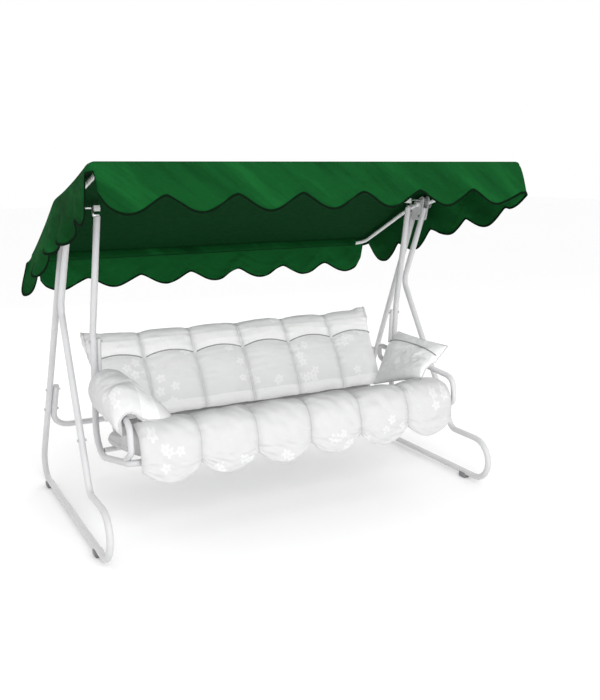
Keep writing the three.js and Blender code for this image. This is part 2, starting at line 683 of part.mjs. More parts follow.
// Headed inside the frame; its outer end is held in the knob.
function canopyBolt(side) {
  const reach = BOSS_OFFSET + CANOPY_TUBE / 2;
  const profile = [
    [-reach - 6, 0], [-reach - 6, 5], [-reach - 4, 8], [-reach - 1, 8], [-reach - 1, 4],
    [reach + 13, 4], [reach + 13, 0],
  ];
  const at = { x: side * frameX(CANOPY_PIVOT.z), y: CANOPY_PIVOT.y, z: CANOPY_PIVOT.z };
  return turnedAlongX(profile, at, side, 10);
}

function buildCanopy() {
  const frontX = frameX(CANOPY_PIVOT.z, BOSS_OFFSET);
  const rearX = frameX(CANOPY_PIVOT.z, -BOSS_OFFSET);
  const frontBow = canopyTube(frontX - 6, ROOF_FRONT.y + 20, 7, BOSS_OFFSET);
  const rearBow = canopyTube(rearX + REAR_ARM_SPREAD, ROOF_REAR.y - 24, 18, -BOSS_OFFSET);
  addPart('canopy_front_tube', frontBow, MATERIALS.whitePaint);
  addPart('canopy_rear_tube', rearBow, MATERIALS.whitePaint);
  addPart('canopy_roof', canopyRoof(), MATERIALS.canopyFabric);
  addPart('canopy_front_valance', endValance(ROOF_FRONT, FRONT_DEPTH, -1), MATERIALS.canopyFabric);
  addPart('canopy_rear_valance', endValance(ROOF_REAR, REAR_DEPTH, 1), MATERIALS.canopyFabric);
  for (const [label, side] of SIDES) {
    addPart(`canopy_${label}_flap`, sideFlap(side, REAR_SCALLOP[label]), MATERIALS.canopyFabric);
    addPart(`${label}_canopy_bolt`, canopyBolt(side), MATERIALS.zinc);
    addPart(`${label}_star_knob`, starKnob(side), MATERIALS.greyPlastic);
  }
}

// ---------------------------------------------------------------- cushions

const CUSHION_X = 838;

function seatCushion() {
  const outline = [
    [76, 347], [84, 376], [66, 430], [0, 452], [-180, 500], [-330, 560], [-400, 562], [-452, 532],
    [-476, 480], [-470, 440], [-452, 430], [-416, 430], [-398, 413], [24, 338], [34, 345],
  ].map(([y, z]) => new THREE.Vector2(y, z));
  return extrudeAlongX(outline, -CUSHION_X, 2 * CUSHION_X);
}

function seatFlap() {
  const top = 480;
  const count = 6;
  const edge = scallops(2 * CUSHION_X, count, () => 88, () => 164);
  const outline = [
    new THREE.Vector2(-CUSHION_X, top),
    ...edge.map((p) => new THREE.Vector2(p.x - CUSHION_X, top - p.y)),
    new THREE.Vector2(CUSHION_X, top),
  ];
  const thickness = 16;
  const flap = new THREE.ExtrudeGeometry(new THREE.Shape(outline), { depth: thickness, bevelEnabled: false });
  flap.rotateX(Math.PI / 2);
  return flap.translate(0, -478, 0);
}

function backCushion() {
  const thickness = 92;
  const length = 462;
  const lowHalf = 818;
  const highHalf = 846;
  const outline = [
    [-lowHalf, 0], [lowHalf, 0], [lowHalf, 300], [highHalf, 360], [highHalf, length],
    [-highHalf, length], [-highHalf, 360], [-lowHalf, 300],
  ].map(([x, up]) => new THREE.Vector2(x, up));
  const slab = new THREE.ExtrudeGeometry(new THREE.Shape(outline), { depth: thickness, bevelEnabled: false });
  slab.applyMatrix4(new THREE.Matrix4().makeBasis(vec(1, 0, 0), BACK_UP, BACK_NORMAL));
  const lift = BACK_TUBE / 2 + 3;
  const base = vec(0, BACK.low.y, BACK.low.z).addScaledVector(BACK_NORMAL, lift).addScaledVector(BACK_UP, 90);
  return slab.translate(base.x, base.y, base.z);
}

// A scatter cushion: an outline in X and Z carried along Y. Where it lies on the seat it rises
// towards the front as the seat does.
function pillow(side, outline, fromY, toY) {
  const ring = new THREE.Shape(outline.map(([x, z]) => new THREE.Vector2(side * x, z)));
  const body = new THREE.ExtrudeGeometry(ring, { depth: toY - fromY, bevelEnabled: false });
  body.rotateX(Math.PI / 2);
  body.translate(0, toY, 0);
  const seatSlope = 0.3;
  const middle = (fromY + toY) / 2;
  return reshape(body, (p) => {
    const onSeat = THREE.MathUtils.clamp((800 - Math.abs(p.x)) / 60, 0, 1);
    return vec(p.x, p.y, p.z + onSeat * seatSlope * (middle - p.y));
  });
}

// The left pillow hangs over the armrest like a saddle.
const LEFT_PILLOW = [
  [938, 580], [930, 645], [905, 694], [868, 716], [826, 706], [752, 646], [655, 570],
  [640, 540], [668, 524], [752, 590], [806, 640], [832, 666], [870, 668], [890, 642], [895, 596], [912, 574],
];

// The right pillow leans out against the armrest.
const RIGHT_PILLOW = [
  [884, 742], [850, 748], [790, 712], [742, 640], [700, 548], [708, 526], [740, 522],
  [772, 560], [800, 612], [832, 668], [862, 700],
];

function buildCushions() {
  addPart('seat_cushion', seatCushion(), MATERIALS.cushionFabric);
  addPart('seat_cushion_flap', seatFlap(), MATERIALS.cushionFabric);
  addPart('back_cushion', backCushion(), MATERIALS.cushionFabric);
  addPart('left_pillow', pillow(-1, LEFT_PILLOW, -345, 30), MATERIALS.cushionFabric);
  addPart('right_pillow', pillow(1, RIGHT_PILLOW, -380, 60), MATERIALS.cushionFabric);
}

// ---------------------------------------------------------------- build

buildSideFrames();
addPart('rear_crossbar', rearCrossbar(), MATERIALS.framePaint);
buildFrameBolts();
buildSwing();
buildSeatFrame();
buildCanopy();
buildCushions();

export default swingBench;
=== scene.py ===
import json
import math

import bmesh
import bpy
import numpy as np
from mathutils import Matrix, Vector, noise
from mathutils.bvhtree import BVHTree


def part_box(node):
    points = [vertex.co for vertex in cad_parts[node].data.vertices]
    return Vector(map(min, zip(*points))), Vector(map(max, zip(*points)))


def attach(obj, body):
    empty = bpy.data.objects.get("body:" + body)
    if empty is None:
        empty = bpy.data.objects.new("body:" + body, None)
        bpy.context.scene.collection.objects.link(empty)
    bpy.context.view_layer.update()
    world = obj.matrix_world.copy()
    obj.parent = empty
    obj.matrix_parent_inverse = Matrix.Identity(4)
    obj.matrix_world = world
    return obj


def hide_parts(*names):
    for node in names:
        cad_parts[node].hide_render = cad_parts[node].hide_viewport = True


# Canopy swing bench, in metres: X to the right seen from the front, Y to the rear, Z up from the floor.

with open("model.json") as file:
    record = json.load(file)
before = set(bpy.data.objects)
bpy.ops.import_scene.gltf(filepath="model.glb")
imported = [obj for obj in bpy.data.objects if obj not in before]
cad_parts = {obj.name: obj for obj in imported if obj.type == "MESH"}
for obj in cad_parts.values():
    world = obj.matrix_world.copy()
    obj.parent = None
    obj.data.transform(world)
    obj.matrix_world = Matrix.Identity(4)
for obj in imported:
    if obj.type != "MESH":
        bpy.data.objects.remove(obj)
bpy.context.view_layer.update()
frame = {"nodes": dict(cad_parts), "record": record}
scene = bpy.context.scene


# ------------------------------ camera, light, floor

CAMERA_PLACE = (-1.894, -3.859, 1.688)
CAMERA_YAW, CAMERA_PITCH = math.radians(28.49), math.radians(12.38)


def make_camera():
    """In front of the bench and to its left, looking slightly down."""
    data = bpy.data.cameras.new("camera")
    data.lens = 43.83
    data.sensor_width = 36
    cam = bpy.data.objects.new("camera", data)
    level = math.cos(CAMERA_PITCH)
    look = Vector((math.sin(CAMERA_YAW) * level, math.cos(CAMERA_YAW) * level, -math.sin(CAMERA_PITCH)))
    cam.location = CAMERA_PLACE
    cam.rotation_euler = look.to_track_quat("-Z", "Y").to_euler()
    scene.collection.objects.link(cam)
    scene.camera = cam


def area_light(name, place, target, size, power):
    data = bpy.data.lights.new(name, "AREA")
    data.shape = "DISK"
    data.size = size
    data.energy = power
    lamp = bpy.data.objects.new(name, data)
    lamp.location = place
    lamp.rotation_euler = (Vector(target) - Vector(place)).to_track_quat("-Z", "Y").to_euler()
    scene.collection.objects.link(lamp)


def make_studio():
    """White surroundings, two soft lamps in front and one behind."""
    world = bpy.data.worlds.new("studio")
    scene.world = world
    world.use_nodes = True
    background = world.node_tree.nodes["Background"]
    background.inputs["Color"].default_value = (1, 1, 1, 1)
    background.inputs["Strength"].default_value = 1.0
    area_light("key", (-1.2, -5.2, 1.4), (0, 0, 0.7), 3.0, 46)
    area_light("high", (-0.6, -4.2, 3.0), (0, 0.2, 0.6), 2.4, 80)
    area_light("rim", (0.5, 4.5, 3.6), (0, 0, 1.0), 2.5, 40)
    scene.view_settings.view_transform = "Standard"


def make_floor():
    """A plain pale floor, larger than any view of the bench."""
    half = 30
    corners = [(-half, -half, 0), (half, -half, 0), (half, half, 0), (-half, half, 0)]
    floor = mesh_object("floor", corners, [(0, 1, 2, 3)])
    s = Shader("floor_shade", rough=0.9)
    s.color(s.mix(s.noise(0.7), (0.98, 0.98, 0.98), (0.97, 0.97, 0.97)))
    floor.data.materials.append(s.mat)


# ------------------------------ node helpers

class Shader:
    """A Principled material with short calls for the nodes that feed it."""

    def __init__(self, name, rough=0.6, metallic=0.0, sheen=0.0, coat=0.0, specular=0.5):
        self.mat = bpy.data.materials.new(name)
        self.mat.use_nodes = True
        self.tree = self.mat.node_tree
        self.bsdf = self.tree.nodes["Principled BSDF"]
        self.bsdf.inputs["Roughness"].default_value = rough
        self.bsdf.inputs["Metallic"].default_value = metallic
        self.bsdf.inputs["Sheen Weight"].default_value = sheen
        self.bsdf.inputs["Coat Weight"].default_value = coat
        self.bsdf.inputs["Specular IOR Level"].default_value = specular
        where = self.new("ShaderNodeTexCoord")
        self.place = where.outputs["Object"]
        self.normal = where.outputs["Normal"]

    def new(self, kind, **settings):
        node = self.tree.nodes.new(kind)
        for key, value in settings.items():
            setattr(node, key, value)
        return node

    def put(self, socket, value):
        """Links a socket to the value, or sets it."""
        if isinstance(value, bpy.types.NodeSocket):
            self.tree.links.new(value, socket)
        else:
            socket.default_value = value

    def math(self, operation, a, b=0.0, c=0.0, clamp=False):
        node = self.new("ShaderNodeMath", operation=operation, use_clamp=clamp)
        for socket, value in zip(node.inputs, (a, b, c)):
            self.put(socket, value)
        return node.outputs[0]

    def times(self, a, b):
        return self.math("MULTIPLY", a, b)

    def between(self, value, low, high):
        """1 where the value lies between two limits, 0 elsewhere."""
        return self.times(self.math("GREATER_THAN", value, low), self.math("LESS_THAN", value, high))

    def vector_math(self, operation, a, b):
        node = self.new("ShaderNodeVectorMath", operation=operation)
        self.put(node.inputs[0], a)
        self.put(node.inputs[1], b)
        return node

    def axis(self, direction, offset=0.0):
        """Distance along a direction in the row frame."""
        return self.math("ADD", self.vector_math("DOT_PRODUCT", self.place, direction).outputs["Value"], offset)

    def split(self, vector):
        node = self.new("ShaderNodeSeparateXYZ")
        self.put(node.inputs[0], vector)
        return node.outputs

    def vector(self, x, y, z=0.0):
        node = self.new("ShaderNodeCombineXYZ")
        for socket, value in zip(node.inputs, (x, y, z)):
            self.put(socket, value)
        return node.outputs[0]

    def noise(self, scale, detail=3.0, rough=0.5, place=None):
        node = self.new("ShaderNodeTexNoise")
        self.put(node.inputs["Vector"], place or self.place)
        node.inputs["Scale"].default_value = scale
        node.inputs["Detail"].default_value = detail
        node.inputs["Roughness"].default_value = rough
        return node.outputs["Fac"]

    def smooth(self, value, low, high, out_low=0.0, out_high=1.0):
        """Eases from out_low to out_high as the value goes from low to high."""
        node = self.new("ShaderNodeMapRange", interpolation_type="SMOOTHSTEP")
        for socket, number in zip(node.inputs, (value, low, high, out_low, out_high)):
            self.put(socket, number)
        return node.outputs[0]

    def mix(self, amount, a, b):
        node = self.new("ShaderNodeMix", data_type="RGBA")
        self.put(node.inputs[0], amount)
        self.put(node.inputs[6], (*a, 1) if isinstance(a, tuple) else a)
        self.put(node.inputs[7], (*b, 1) if isinstance(b, tuple) else b)
        return node.outputs[2]

    def color(self, value):
        self.put(self.bsdf.inputs["Base Color"], value)

    def rough(self, value):
        self.put(self.bsdf.inputs["Roughness"], value)

    def bump(self, *layers):
        """Each layer is (height, distance in metres)."""
        normal = None
        for height, distance in layers:
            node = self.new("ShaderNodeBump")
            node.inputs["Strength"].default_value = 1.0
            node.inputs["Distance"].default_value = distance
            self.put(node.inputs["Height"], height)
            if normal is not None:
                self.put(node.inputs["Normal"], normal)
            normal = node.outputs[0]
        self.put(self.bsdf.inputs["Normal"], normal)
        return self.mat

    def weave(self, u, v, pitch):
        """A plain weave: two crossed thread waves, alternately over and under."""
        turns = 2 * math.pi / pitch
        return self.times(self.math("SINE", self.times(u, turns)), self.math("SINE", self.times(v, turns)))


# ------------------------------ materials

# The third canopy colour is painted shade: the colour given to canopy cloth where it faces down
CANOPY_TINT, CANOPY_SHADE, CANOPY_UNDERSIDE_SHADE = (0.0052, 0.066, 0.0145), (0.0038, 0.052, 0.0112), (0.0034, 0.037, 0.0095)
CANOPY_BINDING = (0.0016, 0.0100, 0.0034)
# One pale cotton in lit and shaded copies: the back cushion's grey is painted light, made lighter to make up for
# the canopy's shade over it, and the seat's and its front's grey is painted shade, made darker to make up for the
# front lamps
BACK_GREY_PAINTED_LIGHT, SEAT_GREY_PAINTED_SHADE = (0.83, 0.83, 0.833), (0.59, 0.59, 0.594)
# The right pillow's grey is painted light: the pillow cotton made lighter to make up for the shade on its face;
# PILLOW_GREY is the left pillow's
PILLOW_GREY, RIGHT_PILLOW_PAINTED_LIGHT = (0.66, 0.66, 0.664), (0.90, 0.90, 0.903)
DUST, DUST_HEIGHT = (0.36, 0.34, 0.30), 0.35
REAR_VALANCE = (0.63, 0.66)  # in Y, where painted light sets in: the rear valance is drawn paler, as if lit through from behind

PITCH = 0.2793  # one tufted column of the cushions
TAPE_ARCH = 0.027  # rise of a tape between two seams
ARCH_POWER = 0.8
FLOWERS = 17.0  # flowers per metre
SPRAYS = 4.5  # sprays of flowers per metre
PETALS = 5.0


def tone(tint, factor, most=1.0):
    """A colour made lighter or darker, with no channel over most."""
    return tuple(min(most, c * factor) for c in tint)


def powder_coat(name, tint, rough):
    """Baked paint on tube: slightly cloudy, scuffed, and dusty near the ground."""
    s = Shader(name, rough=rough, coat=0.15)
    body = s.mix(s.smooth(s.noise(5.0, 4.0), 0.35, 0.7), tint, tone(tint, 0.94))
    scuffs = s.smooth(s.noise(38.0, 6.0, 0.7), 0.66, 0.78)
    body = s.mix(s.times(scuffs, 0.35), body, tone(tint, 0.80))
    dust = s.smooth(s.axis((0, 0, 1)), 0.0, DUST_HEIGHT, 0.22, 0.0)
    s.color(s.mix(s.times(dust, s.noise(24.0, 5.0)), body, DUST))
    s.rough(s.smooth(s.noise(60.0, 4.0), 0.3, 0.7, rough - 0.06, rough + 0.1))
    return s.bump((s.noise(900.0, 2.0), 0.00012), (s.noise(14.0, 2.0), 0.0004))


def plated_steel(name):
    """Zinc plate with duller stains."""
    s = Shader(name, rough=0.32, metallic=1.0)
    s.color(s.mix(s.smooth(s.noise(90.0, 5.0), 0.4, 0.75), (0.62, 0.63, 0.64), (0.42, 0.42, 0.41)))
    s.rough(s.smooth(s.noise(220.0, 3.0), 0.3, 0.7, 0.24, 0.45))
    return s.bump((s.noise(500.0, 3.0), 0.0001))


def moulded(name, tint):
    """Moulded plastic with a fine grain."""
    s = Shader(name, rough=0.5)
    s.color(s.mix(s.smooth(s.noise(40.0, 4.0), 0.35, 0.75), tint, tone(tint, 0.82)))
    s.rough(s.smooth(s.noise(160.0, 3.0), 0.3, 0.7, 0.42, 0.62))
    return s.bump((s.noise(700.0, 2.0), 0.00015))


def canopy_cloth(name, tint, shade, underside_shade):
    """Dyed awning cloth: faded in patches, crossed by slubs and creases, with painted highlight and shade along the
    creases, painted shade on faces that point down and painted light on the rear valance.
    """
    s = Shader(name, rough=0.9, specular=0.03)
    x, y, z = s.axis((1, 0, 0)), s.axis((0, 1, 0)), s.axis((0, 0, 1))
    slub = s.noise(1.0, 2.0, place=s.vector(s.times(x, 26), s.times(y, 420), s.times(z, 420)))
    slant = s.vector(s.math("MULTIPLY_ADD", z, 1.3, x), s.times(y, 0.5), s.times(z, 0.35))
    crease_and_painted_light = s.noise(5.5, 4.0, 0.6, place=slant)
    body = s.mix(s.smooth(s.noise(1.6, 3.0), 0.3, 0.7), tint, shade)
    body = s.mix(s.smooth(slub, 0.5, 0.8, 0.0, 0.3), body, tone(tint, 1.35))
    # Painted highlight and shade: the cloth is drawn lighter where the crease noise is high and darker where it is
    # low; the same noise also bumps the surface
    body = s.mix(s.smooth(crease_and_painted_light, 0.50, 0.68, 0.0, 0.7), body, tone(tint, 1.5))
    body = s.mix(s.smooth(crease_and_painted_light, 0.48, 0.33, 0.0, 0.6), body, tone(shade, 0.62))
    # Painted shade: faces that point down are drawn towards the darker underside colour
    body = s.mix(s.smooth(s.split(s.normal)[2], -0.3, -0.65), body, underside_shade)
    # Painted light: the rear valance is drawn up to 75% of the way towards a paler green, as if lit through from
    # behind
    s.color(s.mix(s.smooth(y, *REAR_VALANCE, 0.0, 0.75), body, tone(tint, 1.6)))
    s.rough(s.smooth(s.noise(30.0, 4.0), 0.3, 0.7, 0.84, 0.96))
    return s.bump((crease_and_painted_light, 0.016), (s.weave(x, s.math("SUBTRACT", z, y), 0.0016), 0.00018))


def arch_line(s, rise, base):
    """A line that arches from seam to seam of the tufted columns."""
    across = s.math("DIVIDE", s.axis((1, 0, 0)), PITCH)
    phase = s.math("ABSOLUTE", s.math("SINE", s.times(across, math.pi)))
    return s.math("MULTIPLY_ADD", s.math("POWER", phase, ARCH_POWER), rise, base)


def seam_distance(s):
    """Metres to the nearest seam between two columns, a little wavy."""
    across = s.math("MULTIPLY_ADD", s.noise(11.0, 3.0), 0.010, s.axis((1, 0, 0), -0.005))
    swing = s.math("ABSOLUTE", s.math("SINE", s.times(across, math.pi / PITCH)))
    return s.times(swing, PITCH / math.pi)


def cells_2d(s, at):
    """Voronoi cells, one for each unit of the place."""
    cells = s.new("ShaderNodeTexVoronoi", voronoi_dimensions="2D")
    s.put(cells.inputs["Vector"], at)
    cells.inputs["Scale"].default_value = 1.0
    return cells


def blossoms(s, u, v):
    """Small sprays of flowers: 1 on a petal and 0 off it, and the depth inside the petal."""
    at = s.vector(s.times(u, FLOWERS), s.times(v, FLOWERS))
    cells = cells_2d(s, at)
    part = s.split(s.vector_math("SUBTRACT", at, cells.outputs["Position"]).outputs[0])
    turn = s.math("ARCTAN2", part[1], part[0])
    wobble = s.times(s.noise(0.7, 2.0, place=at), 7.0)
    petals = s.math("COSINE", s.math("ADD", s.times(turn, PETALS), wobble))
    reach = s.math("ADD", s.times(petals, 0.10), 0.38)
    inside = s.math("SUBTRACT", reach, cells.outputs["Distance"])
    coarse = s.vector_math("MULTIPLY", cells.outputs["Position"], (SPRAYS / FLOWERS,) * 3)
    near = s.math("LESS_THAN", cells_2d(s, coarse.outputs[0]).outputs["Distance"], 0.27)
    return s.times(s.smooth(inside, -0.02, 0.03), near), s.times(inside, near)


def cushion_cloth(name, u_dir, v_dir, grey, band=None, seam_lines_and_shade=True):
    """Pale grey cotton with a light flower print. band(s) gives where the patterned border runs."""
    s = Shader(name, rough=0.85, sheen=0.05, specular=0.2)
    u, v = s.axis(u_dir), s.axis(v_dir)
    flower, inside = blossoms(s, u, v)
    outline = s.times(s.smooth(s.math("ABSOLUTE", inside), 0.05, 0.015), flower)
    heart = s.smooth(inside, 0.30, 0.36, 0.0, 0.5)
    mottle = s.smooth(s.noise(16.0, 4.0), 0.35, 0.7)
    cloth = s.mix(s.times(mottle, 0.5), grey, tone(grey, 0.965))
    cloth = s.mix(s.times(flower, 0.8), cloth, tone(grey, 1.15, 0.94))
    cloth = s.mix(s.math("MAXIMUM", s.times(outline, 0.5), heart), cloth, tone(grey, 0.84))
    if band:
        swirl = s.times(s.noise(17.0, 1.5, place=s.vector(u, v)), 34.0)
        lines = s.math("ABSOLUTE", s.math("SINE", swirl))
        border = s.mix(s.smooth(lines, 0.0, 0.22, 0.3, 0.0), tone(grey, 1.17, 0.95), tone(grey, 0.86))
        cloth = s.mix(band(s), cloth, border)
    if seam_lines_and_shade:
        gap = seam_distance(s)
        # Painted shade: the cloth darkens within 34 mm of each seam, where the puffed columns shade it; next, a
        # thin dark line at the seam itself, partly stitching and partly painted shade in the groove
        cloth = s.mix(s.smooth(gap, 0.034, 0.0, 0.0, 0.6), cloth, tone(grey, 0.86))
        cloth = s.mix(s.smooth(gap, 0.0030, 0.0010, 0.0, 0.45), cloth, tone(grey, 0.55))
    s.color(cloth)
    return s.bump((s.noise(22.0, 4.0, 0.5), 0.0035), (s.weave(u, v, 0.0011), 0.0001))


def tape_cloth(name, tint):
    """Ribbed binding tape."""
    s = Shader(name, rough=0.9, specular=0.05)
    s.color(s.mix(s.smooth(s.noise(120.0, 3.0), 0.35, 0.7), tint, tone(tint, 0.8)))
    return s.bump((s.math("SINE", s.times(s.axis((1, 0.3, 0.3)), 2600.0)), 0.0002))


def sling_cloth(name, u_dir, v_dir):
    """Coated mesh with an open weave."""
    s = Shader(name, rough=0.6)
    grid = s.weave(s.axis(u_dir), s.axis(v_dir), 0.004)
    s.color(s.mix(s.smooth(grid, -0.4, 0.5), (0.33, 0.33, 0.34), (0.66, 0.66, 0.66)))
    return s.bump((grid, 0.0006), (s.noise(5.0, 2.0), 0.004))


# ------------------------------ mesh helpers

def mesh_object(name, verts, faces):
    mesh = bpy.data.meshes.new(name)
    mesh.from_pydata([tuple(v) for v in verts], [], faces)
    mesh.update()
    mesh.polygons.foreach_set("use_smooth", [True] * len(mesh.polygons))
    obj = bpy.data.objects.new(name, mesh)
    scene.collection.objects.link(obj)
    return obj


def strip_faces(rows, columns, close_rows=False, close_columns=False):
    """Four-sided faces between the rows of a grid of vertices."""
    faces = []
    for i in range(rows if close_rows else rows - 1):
        for j in range(columns if close_columns else columns - 1):
            a, b = i * columns + j, i * columns + (j + 1) % columns
            c, d = ((i + 1) % rows) * columns + (j + 1) % columns, ((i + 1) % rows) * columns + j
            faces.append((a, b, c, d))
    return faces


def shell_faces(rows, columns):
    """Faces of two grids that meet at their rims, the second one turned over."""
    top = strip_faces(rows, columns)
    return top + [tuple(rows * columns + k for k in reversed(face)) for face in top]


def outward(obj):
    """Turns the faces of a closed mesh outwards."""
    work = bmesh.new()
    work.from_mesh(obj.data)
    bmesh.ops.recalc_face_normals(work, faces=work.faces)
    work.to_mesh(obj.data)
    work.free()
    return obj


def bake(obj):
    """Applies the object's modifiers to its mesh."""
    shown = obj.evaluated_get(bpy.context.evaluated_depsgraph_get())
    fresh = bpy.data.meshes.new_from_object(shown)
    obj.modifiers.clear()
    obj.data = fresh
    fresh.polygons.foreach_set("use_smooth", [True] * len(fresh.polygons))
    return obj


def welded(obj, distance):
    """Joins the rims of a two-layer shell."""
    weld = obj.modifiers.new("weld", "WELD")
    weld.merge_threshold = distance
    return outward(bake(obj))


def thickened(obj, thickness, offset):
    """Gives a sheet its thickness."""
    thick = obj.modifiers.new("thick", "SOLIDIFY")
    thick.thickness = thickness
    thick.offset = offset
    return bake(obj)


def vertex_rows(obj, kind="co"):
    """The vertices' "co" or "normal", three numbers a row."""
    values = np.empty(len(obj.data.vertices) * 3)
    obj.data.vertices.foreach_get(kind, values)
    return values.reshape(-1, 3)


def set_vertices(obj, co):
    obj.data.vertices.foreach_set("co", co.ravel())
    obj.data.update()


CLOTH_FRAMES = 20


def inflate(obj, voxel, pinned, cap):
    """Swells a closed pad like stuffed cloth, by cap at most. pinned(co) is 1 where the cover is sewn down."""
    remesh = obj.modifiers.new("even", "REMESH")
    remesh.mode = "VOXEL"
    remesh.voxel_size = voxel
    bake(obj)
    before = vertex_rows(obj)
    group = obj.vertex_groups.new(name="sewn")
    for i, co in enumerate(before):
        weight = pinned(co)
        if weight > 0.01:
            group.add([i], min(1.0, weight), "REPLACE")
    cloth = obj.modifiers.new("cloth", "CLOTH")
    settings = cloth.settings
    settings.quality = 4
    settings.mass = 0.25
    settings.tension_stiffness = 12
    settings.compression_stiffness = 12
    settings.shear_stiffness = 4
    settings.bending_stiffness = 0.6
    settings.use_pressure = True
    settings.uniform_pressure_force = 4.0
    settings.effector_weights.gravity = 0
    settings.vertex_group_mass = "sewn"
    cloth.collision_settings.use_collision = False
    for step in range(1, CLOTH_FRAMES + 1):
        scene.frame_set(step)
    bake(obj)
    move = vertex_rows(obj) - before
    scene.frame_set(1)
    length = np.linalg.norm(move, axis=1, keepdims=True)
    move *= np.minimum(1.0, cap / np.maximum(length, 1e-9))
    set_vertices(obj, before + move)


def smooth_once(obj):
    """Evens out the voxels and divides the mesh once."""
    relax = obj.modifiers.new("relax", "SMOOTH")
    relax.iterations = 1
    relax.factor = 0.5
    divide = obj.modifiers.new("fine", "SUBSURF")
    divide.levels = divide.render_levels = 1
    bake(obj)


def dress(obj, material, body):
    """Gives a piece its material and the CAD body that it rides on."""
    obj.data.materials.clear()
    obj.data.materials.append(material)
    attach(obj, body)
    return obj


UNLIKELY_AXIS = Vector((0.13, 0.21, 0.97))  # no tube runs along it


def path_tube(name, points, radius, sides=8, closed=False, flat=1.0):
    """A tube along points; flat squeezes it across its second axis."""
    points = [Vector(p) for p in points]
    verts, count = [], len(points)
    for i, p in enumerate(points):
        ahead = points[(i + 1) % count] if closed or i < count - 1 else p
        behind = points[i - 1] if closed or i > 0 else p
        along = (ahead - behind).normalized()
        side = along.cross(UNLIKELY_AXIS).normalized()
        up = side.cross(along)
        for k in range(sides):
            a = 2 * math.pi * k / sides
            verts.append(p + side * radius * math.cos(a) + up * radius * flat * math.sin(a))
    faces = strip_faces(count, sides, close_rows=closed, close_columns=True)
    if not closed:
        faces += [tuple(range(sides))[::-1], tuple(range((count - 1) * sides, count * sides))]
    return outward(mesh_object(name, verts, faces))


def lay_on(obj, starts, direction, lift):
    """Drops points along a direction onto a piece, and lifts them off it a little."""
    tree = BVHTree.FromObject(obj, bpy.context.evaluated_depsgraph_get())
    direction = Vector(direction).normalized()
    hits = [tree.ray_cast(start, direction)[0] for start in starts]
    return [hit - direction * lift for hit in hits if hit is not None]


def catmull(points, count):
    """Even samples along a smooth curve through 2-D points."""
    pts = np.array(points, float)
    pts = np.vstack([2 * pts[0] - pts[1], pts, 2 * pts[-1] - pts[-2]])
    dense = []
    for i in range(1, len(pts) - 2):
        a, b, c, d = pts[i - 1:i + 3]
        for t in np.linspace(0, 1, 24, endpoint=False):
            dense.append(0.5 * (2 * b + (c - a) * t + (2 * a - 5 * b + 4 * c - d) * t * t
                                + (3 * b - a - 3 * c + d) * t ** 3))
    dense = np.array([*dense, pts[-2]])
    steps = np.concatenate([[0], np.cumsum(np.linalg.norm(np.diff(dense, axis=0), axis=1))])
    wanted = np.linspace(0, steps[-1], count)
    return np.stack([np.interp(wanted, steps, dense[:, k]) for k in range(dense.shape[1])], axis=1)


def ripple(x, y, z=0.0):
    """Smooth noise between about -1 and 1, the same on every run."""
    return noise.noise(Vector((x, y, z)))


def rounded(e):
    """A quarter circle: 0 at a rim, 1 from e = 1 inwards."""
    return math.sqrt(max(0.0, 1 - (1 - min(1.0, max(0.0, e))) ** 2))


def bell(distance, width):
    """1 at no distance, falling off smoothly over the width."""
    return math.exp(-(distance / width) ** 2)


# ------------------------------ canopy

def roof_lines():
    """(y, top z, half width) at the roof's front edge, ridge and rear edge, from the CAD."""
    co = vertex_rows(frame["nodes"]["canopy_roof"])
    lines = []
    for y in sorted({round(float(v), 4) for v in co[:, 1]}):
        here = co[np.abs(co[:, 1] - y) < 0.0005]
        lines.append((y, float(here[:, 2].max()), float(here[:, 0].max())))
    return lines


ROOF = roof_lines()
FRONT_Y, REAR_Y = ROOF[0][0], ROOF[-1][0]
RIDGE_Y = ROOF[1][0]
SHOULDER = 0.016  # radius of the bend over the roof's edge
CORNER = 0.035  # radius of the roof's corners, seen from above
SLIT_CORNER = 0.042  # hang at a corner that is slit
CLOSED_CORNER = 0.150  # hang at the front right corner, where the valance runs round unbroken
CORNER_KICK, KICK_REACH = 0.058, 0.17  # how far the hem stands out at that corner, and over what distance
VALANCE_LOBES, FLAP_LOBES = 7, 4.5
FLAP_TWIST = 0.023  # the left flap's scallops turn this far out at the rear and in at the front
ROOF_RINGS = 34
ROWS = 18
SIDE_SEEDS = {"front": 1.0, "rear": 5.0, "left": 9.0, "right": 13.0, "corner": 0.0}
SIDE_WAVES = {"front": 1.0, "rear": 1.0, "left": 0.4, "right": 0.4, "corner": 0.0}


def roof_half(y):
    ys, _, halves = zip(*ROOF)
    return float(np.interp(y, ys, halves))


def roof_height(x, y):
    """The roof's surface: straight slopes over a soft ridge, sagging a little between the bars."""
    ys, zs, _ = zip(*ROOF)
    soft = 0.05
    flat = sum(np.interp(y + k * soft, ys, zs) for k in (-1, -0.5, 0, 0.5, 1)) / 5
    if y < FRONT_Y + soft or y > REAR_Y - soft:
        flat = np.interp(y, ys, zs)
    middle = max(0.0, 1 - (x / roof_half(y)) ** 2) ** 2
    front_bay = math.sin(math.pi * min(1, max(0, (y - FRONT_Y) / (RIDGE_Y - FRONT_Y))))
    rear_bay = math.sin(math.pi * min(1, max(0, (y - RIDGE_Y) / (REAR_Y - RIDGE_Y))))
    ridge = max(0.0, 1 - abs(y - RIDGE_Y) / 0.45) ** 2
    sag = 0.010 * front_bay + 0.012 * rear_bay + 0.020 * ridge * middle
    folds = 0.003 * ripple(x * 3.1, y * 4.2, 2.0) * min(1, (FRONT_Y - y) * (y - REAR_Y) * 20)
    return float(flat) - sag + folds


